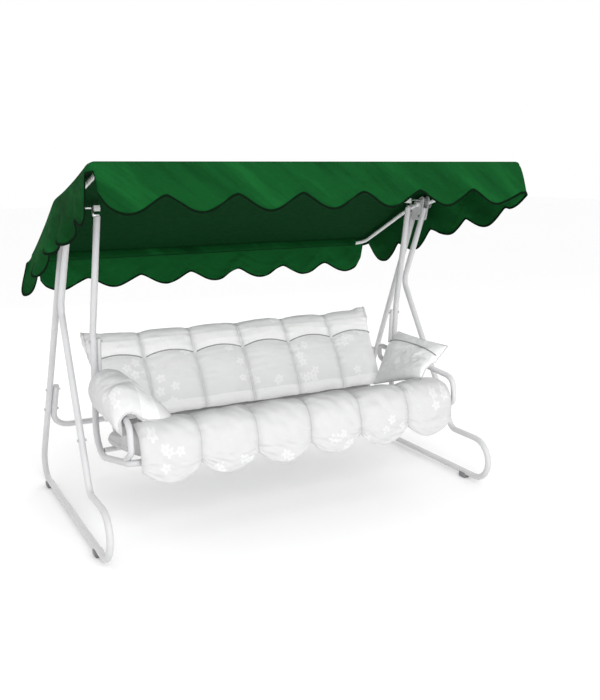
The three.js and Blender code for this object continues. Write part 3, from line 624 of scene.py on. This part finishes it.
def roof_outline(step=0.009):
    """Points round the roof's edge, each with its outward direction and its side's name."""
    ring = []

    def straight(a, b, out, side):
        a, b = Vector(a), Vector(b)
        count = int((b - a).length / step)
        ring.extend((a.lerp(b, i / count), Vector(out), side) for i in range(count))

    def bend(centre, start):
        for i in range(5):
            a = math.radians(start + 90 * i / 5)
            out = Vector((math.cos(a), math.sin(a)))
            ring.append((Vector(centre) + out * CORNER, out, "corner"))

    xf, xr = roof_half(FRONT_Y), roof_half(REAR_Y)
    c = CORNER
    straight((-xf + c, FRONT_Y), (xf - c, FRONT_Y), (0, -1), "front")
    bend((xf - c, FRONT_Y + c), -90)
    for (ya, yb) in ((FRONT_Y + c, RIDGE_Y), (RIDGE_Y, REAR_Y - c)):
        straight((roof_half(ya), ya), (roof_half(yb), yb), (1, 0), "right")
    bend((xr - c, REAR_Y - c), 0)
    straight((xr - c, REAR_Y), (-xr + c, REAR_Y), (0, 1), "rear")
    bend((-xr + c, REAR_Y - c), 90)
    for (ya, yb) in ((REAR_Y - c, RIDGE_Y), (RIDGE_Y, FRONT_Y + c)):
        straight((-roof_half(ya), ya), (-roof_half(yb), yb), (-1, 0), "left")
    bend((-xf + c, FRONT_Y + c), 180)
    return ring


def lobes(phase, power=1.45):
    """Scallops: 0 at the points between them, 1 at their lowest."""
    return abs(math.sin(math.pi * phase)) ** power


def valance_hang(p, side):
    """How far the front or rear valance hangs below the roof's edge, and how far it flares."""
    half = roof_half(p.y)
    t = (p.x + half) / (2 * half)
    peak, bottom, flare = (0.132, 0.201, 0.004) if side == "front" else (0.138, 0.196, 0.010)
    past_slit = 1.0 if side == "front" and t > 0.5 else min(1.0, min(t, 1 - t) * 28) ** 0.7
    peak = 0.040 + (peak - 0.040) * past_slit
    return peak + (bottom - peak) * lobes(VALANCE_LOBES * t), flare


def flap_hang(p, side):
    """The same for a side flap, which is deepest from the middle to the front."""
    t = (REAR_Y - p.y) / (REAR_Y - FRONT_Y)
    towards_front = min(1.0, 2 * t)
    rear_bottom, rear_flare, front_flare = (0.245, 0.055, 0.036) if side == "left" else (0.170, 0.070, 0.052)
    peak = 0.085 + (0.185 - 0.085) * towards_front
    bottom = rear_bottom + (0.250 - rear_bottom) * towards_front
    flare = rear_flare + (front_flare - rear_flare) * towards_front
    hang = peak + (bottom - peak) * lobes(FLAP_LOBES * t, 1.2)
    front_gap = p.y - FRONT_Y - CORNER
    if front_gap < 0.07 and side == "left":
        hang *= 0.66 + 0.34 * rounded(front_gap / 0.07)
    if front_gap < 0.09 and side == "right":
        hang = CLOSED_CORNER + (hang - CLOSED_CORNER) * max(0.0, front_gap / 0.09)
    rear_gap = REAR_Y - CORNER - p.y
    if rear_gap < 0.05:
        hang = 0.05 + (hang - 0.05) * rounded(rear_gap / 0.05)
    return hang, flare


def flap_twist(y):
    """How the left flap's scallops turn out of its plane, from -1 to 1."""
    phase = FLAP_LOBES * (REAR_Y - y) / (REAR_Y - FRONT_Y)
    return math.sin(2 * math.pi * phase) if phase < 4 else -math.sin(math.pi * (phase - 4))


def hanging_row(p, out, side, r):
    """A point of the hanging cloth: r runs from 0 at the roof's edge to 1 at the hem."""
    if side == "corner":
        hang, flare = CLOSED_CORNER if p.x > 0 > p.y else SLIT_CORNER, 0.0
    elif side in ("front", "rear"):
        hang, flare = valance_hang(p, side)
    else:
        hang, flare = flap_hang(p, side)
    turn = min(1.0, r * 6) * math.pi / 2
    fall = max(0.0, r - 1 / 6) / (5 / 6)
    along = p.x if side in ("front", "rear") else p.y
    seed = SIDE_SEEDS[side]
    wave = 0.013 * ripple(along * 6.0, seed, fall * 1.2) + 0.009 * ripple(along * 14.0 + 3 * fall, seed + 3)
    wave += 0.007 * ripple(along * 16.0 - 9 * fall, seed + 7)
    wave *= SIDE_WAVES[side]
    push = SHOULDER * (math.sin(turn) - 1) + flare * fall * hang / 0.25 + wave * min(1.0, fall * 1.6)
    if side == "left":
        push += FLAP_TWIST * flap_twist(p.y) * fall ** 2
    down = SHOULDER * (1 - math.cos(turn)) + (hang - SHOULDER) * fall
    away = math.hypot(roof_half(FRONT_Y) - p.x, p.y - FRONT_Y)
    kick = CORNER_KICK * max(0.0, 1 - away / KICK_REACH) ** 2 * fall ** 0.7
    return Vector((p.x + out.x * push + kick, p.y + out.y * push - 0.2 * kick, roof_height(p.x, p.y) - down))


def make_canopy():
    """Roof, valances and flaps as one sheet, from the hem inwards, with its binding and sleeves."""
    ring = roof_outline()
    count = len(ring)
    verts = []
    for i in range(ROWS, -1, -1):
        verts += [hanging_row(p, out, side, i / ROWS) for p, out, side in ring]
    centre_y = (FRONT_Y + REAR_Y) / 2
    for k in range(1, ROOF_RINGS):
        inward = 1 - k / ROOF_RINGS
        for p, out, _ in ring:
            x = (p.x - out.x * SHOULDER) * inward
            y = centre_y + (p.y - out.y * SHOULDER - centre_y) * inward
            verts.append(Vector((x, y, roof_height(x, y))))
    verts.append(Vector((0, centre_y, roof_height(0, centre_y))))
    faces = strip_faces(ROWS + ROOF_RINGS, count, close_columns=True)
    last, tip = (ROWS + ROOF_RINGS - 1) * count, len(verts) - 1
    faces += [(last + j, last + (j + 1) % count, tip) for j in range(count)]
    sheet = thickened(outward(mesh_object("canopy_cloth", verts, faces)), 0.0012, -1)
    dress(sheet, CANOPY_GREEN, "canopy")
    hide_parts("canopy_roof", "canopy_front_valance", "canopy_rear_valance", "canopy_left_flap",
                "canopy_right_flap")
    hem = make_hem(ring)
    sleeves = [make_sleeve("canopy_front_sleeve", "canopy_front_tube", 1, 0.930, 0.930),
               make_sleeve("canopy_rear_sleeve", "canopy_rear_tube", -1, 0.950, 0.925)]


def make_hem(ring):
    """A folded dark tape bound over the scalloped edge."""
    tall, thick, below = 0.009, 0.0024, -0.001
    verts = []
    for p, out, side in ring:
        low = hanging_row(p, out, side, 1.0)
        high = hanging_row(p, out, side, 1.0 - 1.5 / ROWS)
        up = (high - low).normalized()
        across = Vector((out.x, out.y, 0)) * thick
        verts += [low + across + up * below, low + across + up * tall,
                  low - across + up * tall, low - across + up * below]
    hem = outward(mesh_object("canopy_hem", verts, strip_faces(len(ring), 4, close_rows=True, close_columns=True)))
    return dress(hem, tape_cloth("canopy_binding", CANOPY_BINDING), "canopy")


def make_sleeve(name, node, end, left, right):
    """The pocket sewn under the roof that a bar slides into: end is 1 for the front bar, -1 for the rear."""
    lo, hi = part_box(node)
    radius, loose, under_roof = 0.010, 0.0026, 0.0022
    centre_y = lo.y + radius if end > 0 else hi.y - radius
    centre_z = hi.z - radius if end > 0 else lo.z + radius
    sides, stations = 26, 160
    verts = []
    for i in range(stations + 1):
        x = -left + (left + right) * i / stations
        roof = roof_height(x, centre_y) - under_roof
        for k in range(sides):
            a = 2 * math.pi * k / sides
            r = radius + loose + 0.0012 * ripple(x * 16, math.cos(a), end * 3.0)
            rise = max(0.0, roof - centre_z - r) * (0.5 - 0.5 * math.cos(a)) ** 5
            verts.append(Vector((x, centre_y + r * math.sin(a), centre_z - r * math.cos(a) + rise)))
    sleeve = outward(mesh_object(name, verts, strip_faces(stations + 1, sides, close_columns=True)))
    return dress(thickened(sleeve, 0.0009, 0), CANOPY_GREEN, "canopy")


# ------------------------------ back cushion

BACK_LOW, BACK_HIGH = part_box("back_cushion")
UP = Vector((0, 0.5397, 0.8419))  # up the reclined back
TOWARDS = Vector((0, -0.8419, 0.5397))  # out of it, to the sitter
BACK_LENGTH = 0.462
BACK_THICK = 0.092
BACK_BASE = Vector((0, BACK_HIGH.y - BACK_LENGTH * UP.y, BACK_LOW.z))
BACK_CORE = 0.46  # where its two faces meet, as a share of its thickness
ARCH_BASE = 0.302  # the tape's lowest points, up the back
BAND_TOP, BAND_LOW = 0.405, 0.054  # edges of the patterned borders, up the back
TAPE_REACH = 0.82  # half width over which tapes are sewn
SEWN = 0.006  # half width of a seam that the stuffing can't lift


def column(x):
    """0 at a seam, 1 in the middle of a tufted column."""
    return abs(math.sin(math.pi * x / PITCH))


def seam_gap(x):
    """Metres to the nearest seam."""
    return column(x) * PITCH / math.pi


def arch(x):
    """How far up the back the tape runs."""
    return ARCH_BASE + TAPE_ARCH * column(x) ** ARCH_POWER


def up_back(co):
    """How far up the reclined back a point lies."""
    return (Vector(co) - BACK_BASE).dot(UP)


def off_back(co):
    """How far out of the back's rear face a point lies."""
    return (Vector(co) - BACK_BASE).dot(TOWARDS)


def back_depth(x, v):
    """Half thickness of the back cushion on the sitter's side, as a share of the full one."""
    tuck = 0.38 + 0.62 * column(x) ** 0.40
    if v < BAND_LOW:
        row = 0.62 + 0.2 * math.sin(math.pi * v / BAND_LOW) ** 0.6
    elif v < arch(x):
        r = (v - BAND_LOW) / (arch(x) - BAND_LOW)
        row = 0.60 + 0.54 * math.sin(math.pi * r) ** 0.45
    else:
        r = min(1.0, (v - arch(x)) / (BAND_TOP - arch(x)))
        row = 0.68 + 0.14 * math.sin(math.pi * r) ** 0.6
    return tuck * row


def make_back_cushion():
    """Six tufted columns, crowned between their seams, with raised top corners."""
    nx, nv = 300, 84
    half_low, half_high = 0.820, 0.856

    def half(v):
        widening = (half_high - half_low) * min(1, max(0, (v - 0.2) / 0.2))
        return half_low + widening - 0.006 * math.sin(math.pi * v / 0.46)

    verts = []
    for front in (True, False):
        for i in range(nv + 1):
            v = BACK_LENGTH * i / nv
            for j in range(nx + 1):
                s = 2 * j / nx - 1
                x = s * half(v)
                crest = 0.016 * (column(x) ** 0.5 - 0.6) * max(0, v / BACK_LENGTH - 0.8) / 0.2
                corner = 0.036 * max(0, abs(s) - 0.88) / 0.12 * (v / BACK_LENGTH) ** 3
                rim = rounded(min(v, BACK_LENGTH - v) / 0.05) * rounded((half(v) - abs(x)) / 0.035)
                if i in (0, nv) or j in (0, nx):
                    rim = 0.0
                depth = 0.54 * back_depth(x, v) if front else -0.42
                w = BACK_THICK * (BACK_CORE + depth * rim)
                at = BACK_BASE + UP * (v + crest + corner) + TOWARDS * w
                verts.append(Vector((x, at.y, at.z)))
    pad = welded(mesh_object("back_pad", verts, shell_faces(nv + 1, nx + 1)), 0.0001)

    def sewn(co):
        if off_back(co) < BACK_THICK * 0.3:
            return 1.0
        v = up_back(co)
        return max(bell(seam_gap(co[0]), SEWN), bell(v - arch(co[0]), SEWN), bell(v - BAND_LOW, 0.005))

    inflate(pad, 0.0065, sewn, 0.018)
    wrinkle(pad, up_back, 0.0045)
    smooth_once(pad)
    groove(pad, lambda co: off_back(co) > BACK_THICK * 0.5, 0.007)

    def band(s):
        v = s.axis(tuple(UP), -BACK_BASE.dot(UP))
        above = s.between(v, arch_line(s, TAPE_ARCH, ARCH_BASE), BAND_TOP)
        return s.math("ADD", above, s.math("LESS_THAN", v, BAND_LOW), clamp=True)

    dress(pad, cushion_cloth("back_cotton", (1, 0, 0), tuple(UP), BACK_GREY_PAINTED_LIGHT, band), "swing")
    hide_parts("back_cushion")
    make_tapes(pad)


def wrinkle(obj, along, size):
    """Small puckers that run out of the seams, pushed along the surface's own normals."""
    normals, co = vertex_rows(obj, "normal"), vertex_rows(obj)
    for i, p in enumerate(co):
        near = math.exp(-seam_gap(p[0]) / 0.035)
        t = along(p)
        push = size * (0.3 + near) * (ripple(p[0] * 12, t * 48, 4.0) + 0.6 * ripple(p[0] * 36, t * 26, 8.0))
        push += size * 1.2 * (1 - near) * ripple(p[0] * 7 + 3, t * 9, 2.0)
        co[i] = p + normals[i] * push
    set_vertices(obj, co)


def groove(obj, sewn_side, depth, width=0.005):
    """Draws the column seams tight after the cover has been smoothed."""
    normals, co = vertex_rows(obj, "normal"), vertex_rows(obj)
    for i, p in enumerate(co):
        gap = seam_gap(p[0])
        if gap < 3 * width and sewn_side(p):
            co[i] = p - normals[i] * depth * bell(gap, width)
    set_vertices(obj, co)


def make_tapes(pad):
    """A narrow tape sewn across each column of the back, along its arch."""
    short_of_seam, above = 0.012, 0.3
    for k in range(6):
        low, high = (k - 3) * PITCH + short_of_seam, (k - 2) * PITCH - short_of_seam
        starts = []
        for x in np.linspace(max(low, -TAPE_REACH), min(high, TAPE_REACH), 26):
            line = BACK_BASE + UP * arch(x)
            starts.append(Vector((x, line.y, line.z)) + TOWARDS * above)
        tape = path_tube(f"back_tape_{k + 1}", lay_on(pad, starts, -TOWARDS, 0.0015), 0.0072, flat=0.42)
        dress(tape, TAPE, "swing")


# ------------------------------ seat

# (y, z) round the seat cushion, from its rear over the top to the front and back underneath
SEAT_PROFILE = [(0.070, 0.352), (0.080, 0.390), (0.050, 0.428), (0.0, 0.444), (-0.09, 0.464), (-0.18, 0.490),
                (-0.26, 0.525), (-0.33, 0.545), (-0.39, 0.549), (-0.435, 0.526), (-0.458, 0.486), (-0.455, 0.448),
                (-0.430, 0.434), (-0.40, 0.420), (-0.28, 0.394), (-0.14, 0.370), (0.0, 0.349), (0.045, 0.350)]
SEAT_HALF = 0.836
SEAT_BORDER = (-0.255, -0.18)  # in Y, where the patterned border runs across the seat
# (y, z) of the hanging front, from the seat's crest over and down
DRAPE_PATH = [(-0.262, 0.534), (-0.30, 0.549), (-0.345, 0.564), (-0.395, 0.569), (-0.440, 0.550), (-0.470, 0.510),
              (-0.482, 0.462), (-0.485, 0.42)]


def seat_slope(y, front, rear):
    """A height that runs straight from the seat's front to its rear."""
    return np.interp(y, (-0.45, 0.08), (front, rear))


def make_seat_pad():
    """The seat's profile from end to end, drawn in at the seams and rounded off at both ends."""
    loop = catmull([*SEAT_PROFILE, SEAT_PROFILE[0]], 121)[:-1]
    centre = loop.mean(axis=0)
    tangents = np.roll(loop, -1, axis=0) - np.roll(loop, 1, axis=0)
    tangents /= np.linalg.norm(tangents, axis=1, keepdims=True)
    normals = np.stack([tangents[:, 1], -tangents[:, 0]], axis=1)
    normals *= np.sign(((loop - centre) * normals).sum(axis=1).mean())
    nx = 280
    verts = []
    for j in range(nx + 1):
        x = SEAT_HALF * (2 * j / nx - 1)
        shrink = 0.35 + 0.65 * rounded((SEAT_HALF - abs(x)) / 0.05)
        for p, n in zip(loop, normals):
            upper = min(1.0, max(0.0, n[1] * 1.4 + 0.35))
            sink = 0.020 * (1 - column(x) ** 0.45) * upper
            middle = np.array([p[0] * 0.75 + centre[0] * 0.25, seat_slope(p[0], 0.49, 0.395)])
            q = middle + (p - n * sink - middle) * shrink
            verts.append(Vector((x, q[0], q[1])))
    count = len(loop)
    faces = strip_faces(nx + 1, count, close_columns=True)
    faces += [tuple(range(count)), tuple(range(nx * count, (nx + 1) * count))[::-1]]
    pad = outward(mesh_object("seat_pad", verts, faces))

    def sewn(co):
        return 1.0 if co[2] < seat_slope(co[1], 0.445, 0.362) else bell(seam_gap(co[0]), SEWN)

    inflate(pad, 0.0075, sewn, 0.012)
    wrinkle(pad, lambda co: co[1] - co[2], 0.0034)
    smooth_once(pad)
    groove(pad, lambda co: co[2] > seat_slope(co[1], 0.46, 0.38), 0.006)

    def band(s):
        front, rear = SEAT_BORDER
        return s.between(s.axis((0, 1, 0)), arch_line(s, -TAPE_ARCH, front), rear)

    dress(pad, cushion_cloth("seat_cotton", (1, 0, 0), (0, -1, -0.3), SEAT_GREY_PAINTED_SHADE, band), "swing")
    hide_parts("seat_cushion")


def make_seat_drape():
    """The cover's front: it starts on the seat's crest, rolls over and ends in six scallops."""
    path = catmull(DRAPE_PATH, 46)
    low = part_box("seat_cushion_flap")[0].z
    peak = low + 0.072
    nx, rows = 336, 74
    outer, inner = [], []
    for j in range(nx + 1):
        x = SEAT_HALF * (2 * j / nx - 1)
        c = column(x)
        bottom = peak + (low - peak) * c ** 0.8 + 0.012 * ripple(x * 4.3, 3.3) * c
        head = path[0] + np.array([-0.9, 0.4]) * 0.031 * c ** 0.8
        tail = [(-0.486, path[-1][1] + (bottom - path[-1][1]) * t) for t in np.linspace(0, 1, 29)[1:]]
        line = np.array([head, *path[1:], *tail])
        for k in range(rows + 1):
            v = k / rows
            t = v * (len(line) - 1)
            a = int(min(len(line) - 2, t))
            p = line[a] + (line[a + 1] - line[a]) * (t - a)
            d = line[a + 1] - line[max(a - 1, 0)]
            d = d / np.linalg.norm(d)
            n = np.array([d[1], -d[0]])
            if n[0] * -0.8 + n[1] * 0.5 <= 0:
                n = -n
            rim = rounded(min(k, rows - k) / 3.0) * rounded((SEAT_HALF - abs(x)) / 0.02)
            lobe = 0.4 + 0.6 * math.sin(math.pi * min(1, v * 1.05)) ** 0.6
            puff = 0.015 * c ** 0.6 * lobe - 0.008 * (1 - c ** 0.35)
            fold = 0.0085 * ripple(x * 9 + v * 2, v * 5, 6.0) + 0.0052 * ripple(x * 24 - v * 9, v * 11, 1.0)
            fold += 0.0045 * (1 - c ** 0.6) * ripple(x * 5, v * 38, 3.0)
            rise = (puff + fold * (0.3 + 0.7 * rim)) * min(1, v * 9)
            for layer, height in ((outer, rise + 0.006 * rim), (inner, rise * 0.55 - 0.006 * rim)):
                q = p + n * height
                layer.append(Vector((x, q[0], q[1])))
    drape = welded(mesh_object("seat_front", outer + inner, shell_faces(nx + 1, rows + 1)), 0.00025)
    dress(drape, cushion_cloth("front_cotton", (1, 0, 0), (0, 0.25, -1), SEAT_GREY_PAINTED_SHADE), "swing")
    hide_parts("seat_cushion_flap")


# ------------------------------ scatter cushions

def make_pillow(name, side, curve, y_from, y_to, thick, slope, replaced, material, hang=None, dimple=None,
                over=None, tip=0.0, outer_thin=0.0):
    """A scatter cushion bent over a curve in X and Z, with pinched corners and a piped edge.

    u runs inwards along the curve and v to the rear, both from -1 to 1. thick is the half thickness over and
    under the curve, slope tips the part on the seat, hang(u, v) lets it droop, dimple is where it is pulled in,
    over is the tube that it closes round, tip drops its front inner corner and outer_thin thins its outer end.
    """
    nu, nv = 72, 84
    mid = catmull(curve, nu + 1)
    d = np.gradient(mid, axis=0)
    d /= np.linalg.norm(d, axis=1, keepdims=True)
    normal = np.stack([-d[:, 1], d[:, 0]], axis=1)
    normal *= np.sign(normal[:, 1].sum())
    centre_y, half_y = (y_from + y_to) / 2, (y_to - y_from) / 2
    clear_of_tube = 0.019

    def place(i, j, lift):
        u, v = 2 * i / nu - 1, 2 * j / nv - 1
        waist = 1 - 0.035 * (1 - v * v) * abs(u) ** 3
        narrow = 1 - 0.045 * (1 - u * u) * abs(v) ** 3
        k = (waist * u + 1) / 2 * nu
        a = int(min(nu - 1, max(0, k)))
        p = mid[a] + (mid[a + 1] - mid[a]) * (k - a)
        n = normal[a]
        y = centre_y + half_y * v * narrow
        on_seat = min(1.0, max(0.0, (0.80 - abs(p[0])) / 0.06))
        z = p[1] + on_seat * slope * (centre_y - y) - tip * max(0.0, u) ** 3 * max(0.0, -v) ** 2
        dip = hang(u, v) if hang else 0.0
        return Vector((side * (p[0] + n[0] * lift), y, z + n[1] * lift + dip))

    def fullness(u, v):
        return (max(0.0, 1 - abs(u) ** 3.2) * max(0.0, 1 - abs(v) ** 3.2)) ** 0.42

    def below(u):
        """Thickness under the middle surface: the pillow closes round the tube that it hangs over."""
        if over is None:
            return thick[1]
        p = mid[int(min(nu, (u + 1) / 2 * nu))]
        return min(0.052, max(0.002, math.hypot(p[0] - over[0], p[1] - over[1]) - clear_of_tube))

    def button(u, v):
        """A pull in the middle of the pillow with creases running out of it."""
        if dimple is None:
            return 0.0
        du, dv = u - dimple[0], v - dimple[1]
        r = math.hypot(du, dv)
        rays = math.cos(7 * math.atan2(dv, du)) * min(1.0, r * 6) * math.exp(-r / 0.3)
        return -0.020 * bell(r, 0.17) + 0.0035 * rays

    verts = []
    for sign in (1, -1):
        for i in range(nu + 1):
            for j in range(nv + 1):
                u, v = 2 * i / nu - 1, 2 * j / nv - 1
                crease_and_painted_light = 0.006 * ripple(u * 2.6 + 7, v * 3.0, sign * 2.0) + 0.003 * ripple(u * 7, v * 8, sign * 5.0)
                full = fullness(u, v)
                above = thick[0] * (1 - outer_thin * min(1.0, max(0.0, (-u - 0.2) / 0.6)))
                lift = sign * full * (above if sign > 0 else below(u)) + crease_and_painted_light * full
                if sign > 0:
                    lift += button(u, v) * full
                verts.append(place(i, j, lift))
    pad = welded(mesh_object(name, verts, shell_faces(nu + 1, nv + 1)), 0.0002)
    rim = [place(0, j, 0) for j in range(nv)] + [place(i, nv, 0) for i in range(nu)]
    rim += [place(nu, j, 0) for j in range(nv, 0, -1)] + [place(i, 0, 0) for i in range(nu, 0, -1)]
    piping = path_tube(name + "_piping", rim, 0.0034, closed=True)
    dress(pad, material, "swing")
    dress(piping, TAPE_PALE, "swing")
    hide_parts(replaced)
    return lambda u, v, proud: place((u + 1) / 2 * nu, (v + 1) / 2 * nv, fullness(u, v) * thick[0] + proud)


# (x, z) from the outer edge inwards: the left one lies over its armrest, the right one leans on it
LEFT_CURVE = [(0.893, 0.556), (0.904, 0.600), (0.903, 0.645), (0.884, 0.682), (0.850, 0.697), (0.806, 0.672),
              (0.765, 0.625), (0.710, 0.578), (0.648, 0.545)]
RIGHT_CURVE = [(0.712, 0.528), (0.748, 0.588), (0.787, 0.650), (0.836, 0.704), (0.872, 0.748)]
LEFT_ARMREST = (0.853, 0.650)


def make_pillows():
    def left_band(s):
        """A pale border across the pillow where it comes down on the seat."""
        return s.between(s.math("ABSOLUTE", s.axis((1, 0, 0))), 0.718, 0.796)

    def right_band(s):
        return s.between(s.axis((1, 0, 0.75)), 1.285, 1.352)

    def droop(u, v):
        """The pillow's front end sinks over the armrest's bend."""
        return -0.066 * max(0.0, (-v - 0.2) / 0.8) ** 1.7 * max(0.0, 1 - abs(u) ** 3 * 0.75)

    left_cloth = cushion_cloth("left_pillow_cotton", (0, 1, 0), (1, 0, 0.6), PILLOW_GREY, left_band, seam_lines_and_shade=False)
    right_cloth = cushion_cloth("right_pillow_cotton", (0, 1, 0), (0.6, 0, 0.8), RIGHT_PILLOW_PAINTED_LIGHT, right_band,
                                seam_lines_and_shade=False)
    make_pillow("left_scatter_pillow", -1, LEFT_CURVE, -0.405, 0.030, (0.062, 0.016), 0.22, "left_pillow",
                left_cloth, droop, dimple=(-0.22, -0.30), over=LEFT_ARMREST, tip=0.022, outer_thin=0.55)
    on_pillow = make_pillow("right_scatter_pillow", 1, RIGHT_CURVE, -0.385, 0.064, (0.040, 0.020), 0.3,
                            "right_pillow", right_cloth)
    line = [on_pillow(0.44 + 0.14 * (1 - v * v), v, 0.001) for v in np.linspace(-0.97, 0.97, 40)]
    dress(path_tube("right_pillow_tape", line, 0.0068, flat=0.45), TAPE, "swing")


# ------------------------------ slings behind the cushions

def make_sling(name, node, up, bow, material):
    """Coated mesh laced between tubes: a thin sheet with a shallow belly. up is true for the back's."""
    lo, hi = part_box(node)
    a = Vector((0, lo.y, lo.z)) if up else Vector((0, hi.y, lo.z))
    b = Vector((0, hi.y, hi.z)) if up else Vector((0, lo.y, hi.z))
    normal = (b - a).cross(Vector((1, 0, 0))).normalized()
    along = (b - a).normalized()
    half = hi.x
    nx, nv = 120, 30
    verts = []
    for i in range(nv + 1):
        v = i / nv
        for j in range(nx + 1):
            s = 2 * j / nx - 1
            belly = bow * math.sin(math.pi * v) * (1 - s ** 6)
            lace = 0.004 * abs(math.sin(math.pi * s * 14)) * {0: 1, nv: -1}.get(i, 0)
            p = a.lerp(b, v) + normal * belly + along * lace
            cut = 1 - 0.045 * max(0.0, (v - 0.88) / 0.12) if up else 1.0
            verts.append(Vector((s * half * cut, p.y, p.z)))
    sling = thickened(mesh_object(name, verts, strip_faces(nv + 1, nx + 1)), 0.0014, 0)
    dress(sling, material, "swing")
    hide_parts(node)


# ------------------------------ CAD nodes that stay

def finish_metalwork():
    """Gives the frame, fittings and glides their materials, welded faces and softened edges."""
    by_slot = {"frame_paint": powder_coat("frame_coat", (0.60, 0.60, 0.61), 0.36),
               "white_paint": powder_coat("canopy_tube_coat", (0.82, 0.82, 0.82), 0.34),
               "zinc": plated_steel("zinc_plate"),
               "white_plastic": moulded("white_nylon", (0.80, 0.80, 0.78)),
               "grey_plastic": moulded("grey_plastic", (0.20, 0.20, 0.21))}
    for part in frame["record"]["subparts"]:
        obj = frame["nodes"][part["node"]]
        slot = part["material_slot"]
        if slot not in by_slot:
            continue
        obj.data.materials.clear()
        obj.data.materials.append(by_slot[slot])
        obj.data.polygons.foreach_set("use_smooth", [True] * len(obj.data.polygons))
        weld = obj.modifiers.new("weld", "WELD")
        weld.merge_threshold = 0.00001
        if slot in ("zinc", "white_plastic", "grey_plastic") or "plate" in part["node"]:
            bevel = obj.modifiers.new("edge", "BEVEL")
            bevel.width = 0.0006
            bevel.segments = 2
            bevel.limit_method = "ANGLE"
            bevel.angle_limit = math.radians(40)
        split = obj.modifiers.new("split", "EDGE_SPLIT")
        split.split_angle = math.radians(38)


# ------------------------------ build

TAPE = tape_cloth("grey_tape", (0.40, 0.40, 0.41))
TAPE_PALE = tape_cloth("pale_piping", (0.66, 0.66, 0.67))
CANOPY_GREEN = canopy_cloth("canopy_green", CANOPY_TINT, CANOPY_SHADE, CANOPY_UNDERSIDE_SHADE)
make_camera()
make_studio()
make_floor()
finish_metalwork()
make_canopy()
make_back_cushion()
make_seat_pad()
make_seat_drape()
make_pillows()
make_sling("back_sling", "backrest_mesh", True, 0.006, sling_cloth("back_mesh", (1, 0, 0), tuple(UP)))
make_sling("seat_sling", "seat_mesh", False, 0.006, sling_cloth("seat_mesh_cloth", (1, 0, 0), (0, 1, 0)))
